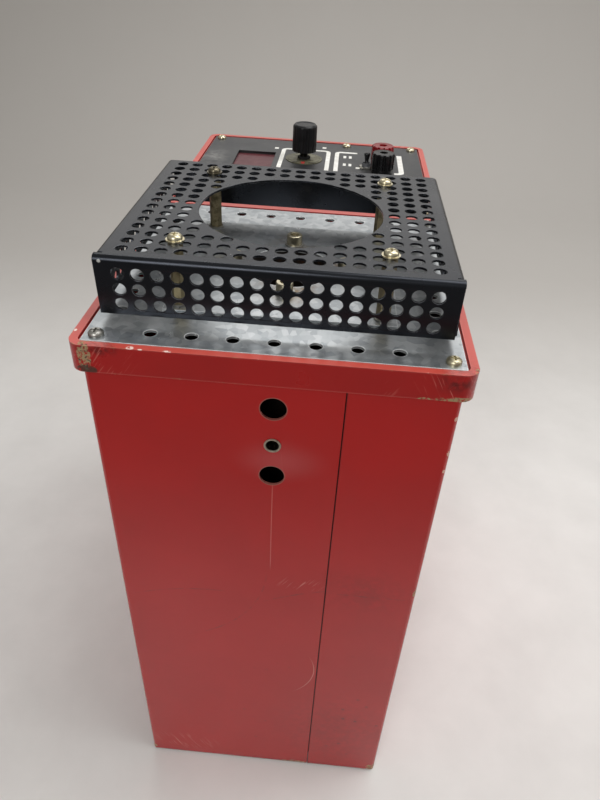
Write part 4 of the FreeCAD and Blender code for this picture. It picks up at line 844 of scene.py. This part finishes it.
# The shaft and nut under the knob are painted deep grey as painted shade under the knob, with a faint oily
# shine
SHADE_BLACKENED_STEEL = TarnishedMetal(
    "steel blackened as shade", "#161617", "#0F0F10", 0.6, metallic=0.4, blotch_mm=3.0, grain_mm=0.5,
    tarnish="#15130F")
# Nickel plate is warm silver and nearly a mirror
NICKEL = TarnishedMetal(
    "nickel plate", "#BFBDB5", "#A5A39B", 0.2, blotch_mm=3.0, grain_mm=0.5, tarnish="#6E6A60",
    tarnish_level=0.62)
# Moulded rubber is matt black with a chalky bloom
RUBBER = Finish(
    "moulded rubber", "#1B1B1B", "#2A2A29", 0.75, blotch_mm=6.0, grain_mm=0.5, grain_depth_mm=0.02)
# The dial's printed metal has browned under its lacquer
DIAL_METAL = TarnishedMetal(
    "lacquered dial metal", "#6F6C55", "#5B5843", 0.45, metallic=0.3, blotch_mm=4.0, tarnish="#3A372A",
    tarnish_mm=4.0)
# Compression-moulded plastic is black with a soft shine
BLACK_PLASTIC = Finish(
    "moulded black plastic", "#161617", "#222224", 0.4, blotch_mm=5.0, grain_mm=0.35, grain_depth_mm=0.008)
# Glossy moulded plastic shows sharp highlights
BLACK_GLOSS = Finish(
    "glossy black plastic", "#0C0C0D", "#141416", 0.26, 0.05, ior=1.4, blotch_mm=4.0, grain_mm=0.6,
    grain_depth_mm=0.004)
# The knob's plastic is deep black and polished by fingers
KNOB_PLASTIC = Finish(
    "polished black plastic", "#0B0B0C", "#131315", 0.34, 0.06, ior=1.38, blotch_mm=5.0, grain_mm=0.5,
    grain_depth_mm=0.004)
# Dyed clear plastic lets some light through and glows at its edges
RED_PLASTIC = Finish(
    "dyed red plastic", "#96101A", "#7A0B12", 0.24, 0.05, ior=1.45, blotch_mm=4.0, grain_mm=0.6,
    grain_depth_mm=0.004, transmission=0.2)
# The display filter is dark dyed acrylic with a dusty gloss
RED_FILTER = SatinPaint(
    "dyed acrylic filter", "#5E262C", "#4E1C22", 0.38, 0.05, ior=1.4, blotch_mm=12.0, grain_mm=1.0,
    grain_depth_mm=0.002, worn="#6A2A30", dust_share=0.3)
# Grey moulded plastic of switches, relays and windings has a dull even skin
GREY_PLASTIC = Finish("moulded grey plastic", "#5A5B5E", "#4B4C50", 0.5, blotch_mm=5.0, grain_mm=0.4)
# A pressed aluminium can has faint drawing lines, and its bush under the knob is painted black as painted
# shade
PRESSED_CAN = TarnishedMetal(
    "pressed aluminium", "#B4B4B1", "#9D9D9A", 0.35, stretch=(1.0, 1.0, 0.2), tarnish="#77756F",
    tarnish_level=0.6, stain_and_shade="#141310", stain_and_shade_spots=(Patch((-8.0, 137.0, 437.0), 10.0, core=8.0),))
# Vacuum-formed fibre is chalky and slightly felted
FIBRE = Finish(
    "formed ceramic fibre", "#DAD5C6", "#C2BBA8", 0.9, blotch_mm=9.0, grain_mm=0.7, grain_depth_mm=0.12)
# Glass-fibre laminate is a deep green with a faint weave
LAMINATE = Finish("green laminate", "#1F5B34", "#184A2A", 0.35, blotch_mm=8.0, grain_mm=0.6, coat=0.3)
# Stacked core sheets show fine varnished lines
CORE_IRON = Finish(
    "varnished laminations", "#434346", "#5B5B5E", 0.45, metallic=0.8, stretch=(0.05, 4.0, 0.05),
    grain_mm=0.7, grain_depth_mm=0.05)
# Silk-screened white ink is flat, slightly yellowed and worn thin in places
WHITE_INK = SatinPaint(
    "white screen ink", "#F1F0EB", "#D8D6CE", 0.5, blotch_mm=6.0, grain_mm=0.5, dust="#6A6965",
    dust_share=0.3)
# Red screen ink is flat and a little faded
RED_INK = Finish("red screen ink", "#B43A36", "#96302C", 0.5, blotch_mm=3.0, grain_mm=0.5)
# Dark screen ink is a flat brown-black
DARK_INK = Finish("dark screen ink", "#1D1A16", "#2B271F", 0.55, blotch_mm=3.0, grain_mm=0.5)
# Matt paper is pale grey with a soft wavy tone, and painted shade darkens it in front of the case
PAPER = StudioPaper(
    "pale studio paper", "#DEDCD9", "#D6D4D1", 0.85, blotch_mm=90.0, grain_mm=4.0, stretch=(1.0, 1.0, 0.04))


def body_of(node: str) -> str:
    """Looks up the body that a CAD node rides on."""
    return frame["nodes"][node]["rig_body"]


def make_object(bm: Mesh, name: str, finish: Finish) -> bpy.types.Object:
    """Turns a bmesh into a smooth object of one finish.

    Args:
        bm: The shape, in place, in metres. It is freed.
        name: The object's name.
        finish: What it is finished in.

    Returns:
        The new object.
    """
    mesh = bpy.data.meshes.new(name)
    bm.to_mesh(mesh)
    bm.free()
    mesh.polygons.foreach_set("use_smooth", [True] * len(mesh.polygons))
    mesh.materials.append(finish.material())
    piece = bpy.data.objects.new(name, mesh)
    bpy.context.scene.collection.objects.link(piece)
    return piece


def finish_piece(bm: Mesh, name: str, finish: Finish, body: str) -> bpy.types.Object:
    """Turns a bmesh into a finished piece that rides on a body.

    Args:
        bm: The shape, in place, in metres. It is freed.
        name: The piece's name.
        finish: What it is finished in.
        body: The body that carries it.

    Returns:
        The new object.
    """
    piece = make_object(bm, name, finish)
    piece.data.set_sharp_from_angle(angle=math.radians(SMOOTH_DEG))
    even = piece.modifiers.new("even normals", "WEIGHTED_NORMAL")
    even.keep_sharp = True
    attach(piece, body)
    LOG.info("made %s", name)
    return piece


def soft_copy(node: str, finish: Finish, easing: Easing) -> None:
    """Stands a merged copy of a CAD node, with eased edges, in for the node.

    Args:
        node: The CAD node.
        finish: What it is finished in.
        easing: How far its edges are eased.
    """
    bm = bmesh.new()
    bm.from_mesh(frame["nodes"][node].data)
    bmesh.ops.remove_doubles(bm, verts=bm.verts, dist=MERGE)
    if easing.value:
        bmesh.ops.dissolve_limit(bm, angle_limit=math.radians(FLAT_DEG), verts=bm.verts, edges=bm.edges)
        sharp = [edge for edge in bm.edges
                 if edge.is_manifold and edge.calc_face_angle() > math.radians(SHARP_DEG)]
        bmesh.ops.bevel(bm, geom=sharp, offset=easing.value * MM, offset_type="OFFSET", affect="EDGES",
                        segments=BEVEL_SEGMENTS, profile=0.5, material=-1, clamp_overlap=True)
    piece = finish_piece(bm, f"{node}_finished", finish, body_of(node))
    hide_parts(node)


Coats = dict[str, tuple[Finish, Easing]]


@dataclass
class Assembly:
    """A group of CAD nodes and how each of them is finished."""

    coats: ClassVar[Coats] = {}

    def build(self) -> None:
        """Makes the finished pieces of this group."""
        for node, (finish, easing) in self.coats.items():
            soft_copy(node, finish, easing)


@dataclass
class CaseBody(Assembly):
    """The bent case, its tray, feet, strips and inner wall."""

    coats: ClassVar[Coats] = {
        "case_left_shell": (WALL_ENAMEL, SHEARED),
        "case_right_shell": (WALL_ENAMEL, SHEARED),
        "seam_strips": (JOINT_SHADE_STEEL, SHEARED),
        "base_tray": (MILL_STEEL, SHEARED),
        "partition_wall": (MILL_STEEL, SHEARED),
        "rubber_feet": (RUBBER, SHEARED),
        "rivet_nut": (DULL_ZINC, SHEARED),
    }


@dataclass
class TopFrame(Assembly):
    """The rim round the top and the rail between its two plates."""

    coats: ClassVar[Coats] = {
        "rim_frame": (RIM_ENAMEL, FOLDED),
        "divider_rail": (RIM_ENAMEL, MOULDED),
    }


@dataclass
class HotWell(Assembly):
    """The deck plate and the heated well below it."""

    coats: ClassVar[Coats] = {
        "deck_plate": (GALVANISED, SHEARED),
        "deck_screws": (BRIGHT_ZINC, TURNED),
        "well_flange": (GALVANISED, SHEARED),
        "flange_bolts": (BOLT_STEEL, TURNED),
        "bolt_washers": (BRIGHT_ZINC, TURNED),
        "mounting_ring": (MILL_STEEL, SHEARED),
        "well_tube": (HOT_STEEL, SHEARED),
        "heater_bands": (HOT_STEEL, SHEARED),
        "insulation_jacket": (FIBRE, SHEARED),
        # The heat can's dark finish is partly heat darkening and partly painted shade for the inside seen
        # through the end holes
        "heat_can": (HOT_STEEL, SHEARED),
        "thermocouple": (NICKEL, SHEARED),
    }


@dataclass
class HeatGuard(Assembly):
    """The perforated guard on its posts."""

    sheet: tuple[str, str] = ("guard_top", "guard_walls")
    upright: float = 0.5

    coats: ClassVar[Coats] = {
        "guard_posts": (BRASS, TURNED),
        "post_washers": (BRIGHT_ZINC, TURNED),
        "guard_screws": (YELLOW_ZINC, TURNED),
        "post_base_screws": (BRIGHT_ZINC, TURNED),
    }

    def build(self) -> None:
        """Makes the finished posts and screws, and folds the guard's sheet."""
        super().build()
        self.fold_sheet()

    def fold_sheet(self) -> None:
        """Joins the guard's flat top and its bent walls into one folded sheet."""
        bm = bmesh.new()
        corners = []
        for node in self.sheet:
            mesh = frame["nodes"][node].data
            bm.from_mesh(mesh)
            corners.append({self.spot(vertex.co) for vertex in mesh.vertices})
        shared = corners[0] & corners[1]
        joints = [face for face in bm.faces if abs(face.normal.z) < self.upright
                  and all(self.spot(vertex.co) in shared for vertex in face.verts)]
        LOG.info("opened %d joint faces of the guard", len(joints))
        bmesh.ops.delete(bm, geom=joints, context="FACES")
        bmesh.ops.remove_doubles(bm, verts=bm.verts, dist=MERGE)
        top = self.sheet[0]
        piece = finish_piece(bm, "folded_guard", GUARD_PAINT, body_of(top))
        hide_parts(*self.sheet)

    def spot(self, place: Vector) -> tuple[float, ...]:
        """Rounds a position to hundredths of a millimetre."""
        return tuple(round(axis / MM, 2) for axis in place)


@dataclass
class Controls(Assembly):
    """The control panel with its printing, and everything that is mounted on it."""

    line: float = 3.8
    bracket_line: float = 4.6
    bracket_foot: float = 2.5
    corner: float = 4.0
    corner_steps: int = 8
    ink: float = 0.05
    knob_frame: tuple[float, float, float, float] = (-28.3, 13.6, 104.0, 165.5)
    terminal_frame: tuple[float, float, float, float] = (21.6, 44.5, 104.0, 165.0)
    bracket: Triple = (79.3, 111.0, 166.0)
    dots: tuple[Pair, ...] = ((29.0, 128.0), (29.0, 151.0), (34.0, 128.0), (34.0, 151.0))
    dot_size: Pair = (2.6, 7.2)
    ticks: tuple[Pair, ...] = ((41.0, 120.5), (46.0, 120.5), (9.0, 176.0), (-35.5, 165.5))
    tick_size: Pair = (3.6, 4.8)
    marks: int = 21
    first_mark_deg: float = -60.0
    mark_step_deg: float = 15.0
    mark_line: float = 0.9
    mark_radii: Pair = (13.6, 16.0)
    end_mark: Pair = (5.0, 2.4)
    index_radii: Pair = (10.2, 16.2)
    index_line: float = 3.2

    coats: ClassVar[Coats] = {
        "control_panel": (PANEL_PAINT, SHEARED),
        "panel_screws": (YELLOW_ZINC, TURNED),
        "display_bezel": (BLACK_PLASTIC, SHEARED),
        "display_lens": (RED_FILTER, SHEARED),
        "display_module": (GREY_PLASTIC, SHEARED),
        "dial_plate": (DIAL_METAL, SHEARED),
        "control_knob": (KNOB_PLASTIC, SHEARED),
        # The shaft and nut under the knob take a near-black finish as painted shade
        "pot_shaft": (SHADE_BLACKENED_STEEL, TURNED),
        "pot_body": (PRESSED_CAN, SHEARED),
        "pot_nut": (SHADE_BLACKENED_STEEL, TURNED),
        "red_terminal_collar": (RED_PLASTIC, TURNED),
        "red_terminal_stud": (BRASS, SHEARED),
        "red_terminal_insert": (BRASS, SHEARED),
        "red_terminal_cap": (RED_PLASTIC, SHEARED),
        "black_terminal_collar": (BLACK_GLOSS, TURNED),
        "black_terminal_stud": (BRASS, SHEARED),
        "black_terminal_insert": (BRASS, SHEARED),
        "black_terminal_cap": (BLACK_GLOSS, SHEARED),
        "terminal_nuts": (BRASS, TURNED),
        "toggle_body": (GREY_PLASTIC, SHEARED),
        "toggle_nut": (NICKEL, TURNED),
        "toggle_lever": (BLACK_GLOSS, SHEARED),
    }

    def build(self) -> None:
        """Makes the finished controls, and prints the panel and the dial."""
        super().build()
        self.print_panel()
        self.print_dial()

    def straight(self, bm: Mesh, start: Iterable[float], end: Iterable[float], width: float,
                 level: float) -> None:
        """Prints a straight line.

        Args:
            bm: The bmesh that gets it.
            start: One end of its middle line, in millimetres.
            end: The other end.
            width: The line's width, in millimetres.
            level: The ink's level, in metres.
        """
        run = Vector(end) - Vector(start)
        middle = (Vector(start) + Vector(end)) / 2 * MM
        turn = Matrix.Rotation(math.atan2(run.y, run.x), 4, "Z")
        size = Matrix.Diagonal((run.length * MM, width * MM, 1.0, 1.0))
        matrix = Matrix.Translation((middle.x, middle.y, level)) @ turn @ size
        bmesh.ops.create_grid(bm, x_segments=1, y_segments=1, size=0.5, matrix=matrix)

    def bend(self, bm: Mesh, centre: Pair, start_deg: float, width: float, level: float) -> None:
        """Prints a line a quarter of the way round a corner.

        Args:
            bm: The bmesh that gets it.
            centre: The corner's centre, in millimetres.
            start_deg: Where the corner starts.
            width: The line's width, in millimetres.
            level: The ink's level, in metres.
        """
        middle = Vector((centre[0] * MM, centre[1] * MM, level))
        ray = Vector((math.cos(math.radians(start_deg)), math.sin(math.radians(start_deg)), 0.0))
        reaches = self.corner - width / 2, self.corner + width / 2
        ends = [bm.verts.new(middle + ray * reach * MM) for reach in reaches]
        edge = bm.edges.new(ends)
        bmesh.ops.spin(bm, geom=[edge, *ends], cent=middle, axis=(0.0, 0.0, 1.0), angle=math.pi / 2,
                       steps=self.corner_steps, use_merge=False)

    def print_panel(self) -> None:
        """Prints the white frames round the knob and the terminals, and the small marks beside them."""
        bm = bmesh.new()
        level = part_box("control_panel")[1].z + self.ink * MM
        inset = self.corner
        for left, right, front, rear in (self.knob_frame, self.terminal_frame):
            self.straight(bm, (left, front), (left, rear - inset), self.line, level)
            self.bend(bm, (left + inset, rear - inset), 90.0, self.line, level)
            self.straight(bm, (left + inset, rear), (right - inset, rear), self.line, level)
        _, right, front, rear = self.knob_frame
        self.bend(bm, (right - inset, rear - inset), 0.0, self.line, level)
        self.straight(bm, (right, front), (right, rear - inset), self.line, level)

        side, front, rear = self.bracket
        foot = side - inset
        self.straight(bm, (side, front + inset), (side, rear), self.bracket_line, level)
        self.bend(bm, (foot, front + inset), -90.0, self.bracket_line, level)
        self.straight(bm, (foot - self.bracket_foot, front), (foot, front), self.bracket_line, level)

        for spots, (width, length) in ((self.dots, self.dot_size), (self.ticks, self.tick_size)):
            for x, y in spots:
                self.straight(bm, (x, y - length / 2), (x, y + length / 2), width, level)
        bmesh.ops.remove_doubles(bm, verts=bm.verts, dist=MERGE)
        bmesh.ops.recalc_face_normals(bm, faces=bm.faces)
        finish_piece(bm, "panel_print", WHITE_INK, "case")

    def print_dial(self) -> None:
        """Prints the scale marks and the index on the dial."""
        low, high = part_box("dial_plate")
        level = high.z + self.ink * MM
        centre = Vector((low.x + high.x, low.y + high.y)) / 2 / MM
        marks = bmesh.new()
        index = bmesh.new()
        for number in range(self.marks):
            angle = math.radians(self.first_mark_deg + number * self.mark_step_deg)
            ray = Vector((math.cos(angle), math.sin(angle)))
            inner, outer = self.mark_radii
            if number % 2:
                outer = (inner + outer) / 2
            self.straight(marks, centre + ray * inner, centre + ray * outer, self.mark_line, level)
            if number in (0, self.marks - 1):
                length, width = self.end_mark
                middle = centre + ray * sum(self.mark_radii) / 2
                half = Vector((length / 2, 0.0))
                self.straight(marks, middle - half, middle + half, width, level + self.ink * MM)
        front = Vector((0.0, -1.0))
        near, far = self.index_radii
        self.straight(index, centre + front * near, centre + front * far, self.index_line, level)
        finish_piece(marks, "dial_marks", DARK_INK, "case")
        finish_piece(index, "dial_index", RED_INK, "case")


@dataclass
class RearEnd(Assembly):
    """The cooling fan and the mains inlet."""

    coats: ClassVar[Coats] = {
        "fan_frame": (BLACK_PLASTIC, SHEARED),
        "fan_rotor": (BLACK_PLASTIC, SHEARED),
        "fan_screws": (BRIGHT_ZINC, TURNED),
        "mains_inlet": (BLACK_PLASTIC, TURNED),
        "inlet_pins": (BRASS, TURNED),
    }


@dataclass
class InnerWorks(Assembly):
    """The control board and the transformer."""

    coats: ClassVar[Coats] = {
        "control_board": (LAMINATE, SHEARED),
        "board_standoffs": (BRASS, SHEARED),
        "board_parts": (GREY_PLASTIC, MOULDED),
        "transformer_core": (CORE_IRON, SHEARED),
        "transformer_coil": (GREY_PLASTIC, MOULDED),
        "transformer_clamp": (MILL_STEEL, SHEARED),
    }


@dataclass(frozen=True)
class Lamp:
    """A soft lamp that points at the middle of the case, with sizes in metres and power in watts."""

    name: str
    place: Triple
    size: Pair
    power: float
    spread_deg: float = 180.0
    aim: Triple = (0.0, 0.0, 0.25)

    def hang(self) -> None:
        """Hangs the lamp in the scene."""
        lamp = bpy.data.lights.new(self.name, "AREA")
        lamp.shape = "ELLIPSE"
        lamp.size, lamp.size_y = self.size
        lamp.energy = self.power
        lamp.spread = math.radians(self.spread_deg)
        holder = bpy.data.objects.new(self.name, lamp)
        holder.location = self.place
        ray = Vector(self.aim) - Vector(self.place)
        holder.rotation_euler = ray.to_track_quat("-Z", "Y").to_euler()
        bpy.context.scene.collection.objects.link(holder)


@dataclass
class Studio:
    """The pale floor and wall, the soft lamps and the camera, in metres."""

    camera_place: Triple = (0.02735, -0.46293, 0.60523)
    camera_turn_deg: Triple = (53.2163, -2.5362, 4.4427)
    lens: float = 29.09
    sensor: float = 36.0
    floor_size: float = 6.0
    wall_distance: float = 1.8
    wall_height: float = 3.0
    sweep: float = 0.6
    sweep_steps: int = 16
    room: str = "#F2F0EC"
    room_level: float = 0.4
    lamps: tuple[Lamp, ...] = (
        Lamp("overhead", (0.7, 0.0, 2.0), (1.3, 1.3), 18.0),
        Lamp("rear_top", (-0.15, 1.2, 1.75), (1.5, 0.3), 6.0),
        Lamp("front_fill", (-0.4, -1.5, 1.2), (0.8, 0.8), 1.4, 60.0),
        Lamp("rear_sheen", (0.0, 1.6, 1.25), (3.0, 1.2), 7.0),
        Lamp("right_side", (1.6, 0.1, 1.3), (1.0, 1.0), 6.0))

    def build(self) -> None:
        """Sets up the backdrop, the light and the camera."""
        self.build_backdrop()
        self.build_light()
        self.build_camera()

    def build_backdrop(self) -> None:
        """Makes the floor and wall as one swept sheet."""
        bm = bmesh.new()
        half = self.floor_size / 2
        ends = [bm.verts.new((side, -half, 0.0)) for side in (-half, half)]
        edge = bm.edges.new(ends)
        straight = bmesh.ops.extrude_edge_only(bm, edges=[edge])["geom"]
        front = [item for item in straight if isinstance(item, bmesh.types.BMVert)]
        bmesh.ops.translate(bm, verts=front, vec=(0.0, half + self.wall_distance - self.sweep, 0.0))
        far = [item for item in straight
               if isinstance(item, bmesh.types.BMEdge) and set(item.verts) == set(front)]
        turned = bmesh.ops.spin(bm, geom=[*far, *front], axis=(1.0, 0.0, 0.0), angle=math.pi / 2,
                                cent=(0.0, self.wall_distance - self.sweep, self.sweep),
                                steps=self.sweep_steps, use_merge=False)
        last = [item for item in turned["geom_last"] if isinstance(item, bmesh.types.BMEdge)]
        wall = bmesh.ops.extrude_edge_only(bm, edges=last)["geom"]
        top = [item for item in wall if isinstance(item, bmesh.types.BMVert)]
        bmesh.ops.translate(bm, verts=top, vec=(0.0, 0.0, self.wall_height))
        bmesh.ops.recalc_face_normals(bm, faces=bm.faces)
        sheet = make_object(bm, "backdrop", PAPER)

    def build_light(self) -> None:
        """Hangs the lamps and sets the light of the room."""
        for lamp in self.lamps:
            lamp.hang()
        world = bpy.data.worlds.new("room")
        world.use_nodes = True
        shade = world.node_tree.nodes["Background"]
        shade.inputs["Color"].default_value = linear(self.room)
        shade.inputs["Strength"].default_value = self.room_level
        bpy.context.scene.world = world
        bpy.context.scene.view_settings.view_transform = "Standard"

    def build_camera(self) -> None:
        """Places the camera at the photograph's viewpoint."""
        lens = bpy.data.cameras.new("viewpoint")
        lens.lens = self.lens
        lens.sensor_width = self.sensor
        camera = bpy.data.objects.new("viewpoint", lens)
        camera.location = self.camera_place
        camera.rotation_euler = Euler([math.radians(angle) for angle in self.camera_turn_deg], "XYZ")
        bpy.context.scene.collection.objects.link(camera)
        bpy.context.scene.camera = camera


def main() -> None:
    """Builds every assembly in order, then the studio."""
    logging.basicConfig(level=logging.INFO, format="%(name)s: %(message)s")
    for assembly in (CaseBody(), TopFrame(), HotWell(), HeatGuard(), Controls(), RearEnd(), InnerWorks()):
        assembly.build()
    Studio().build()


if __name__ == "__main__":
    main()
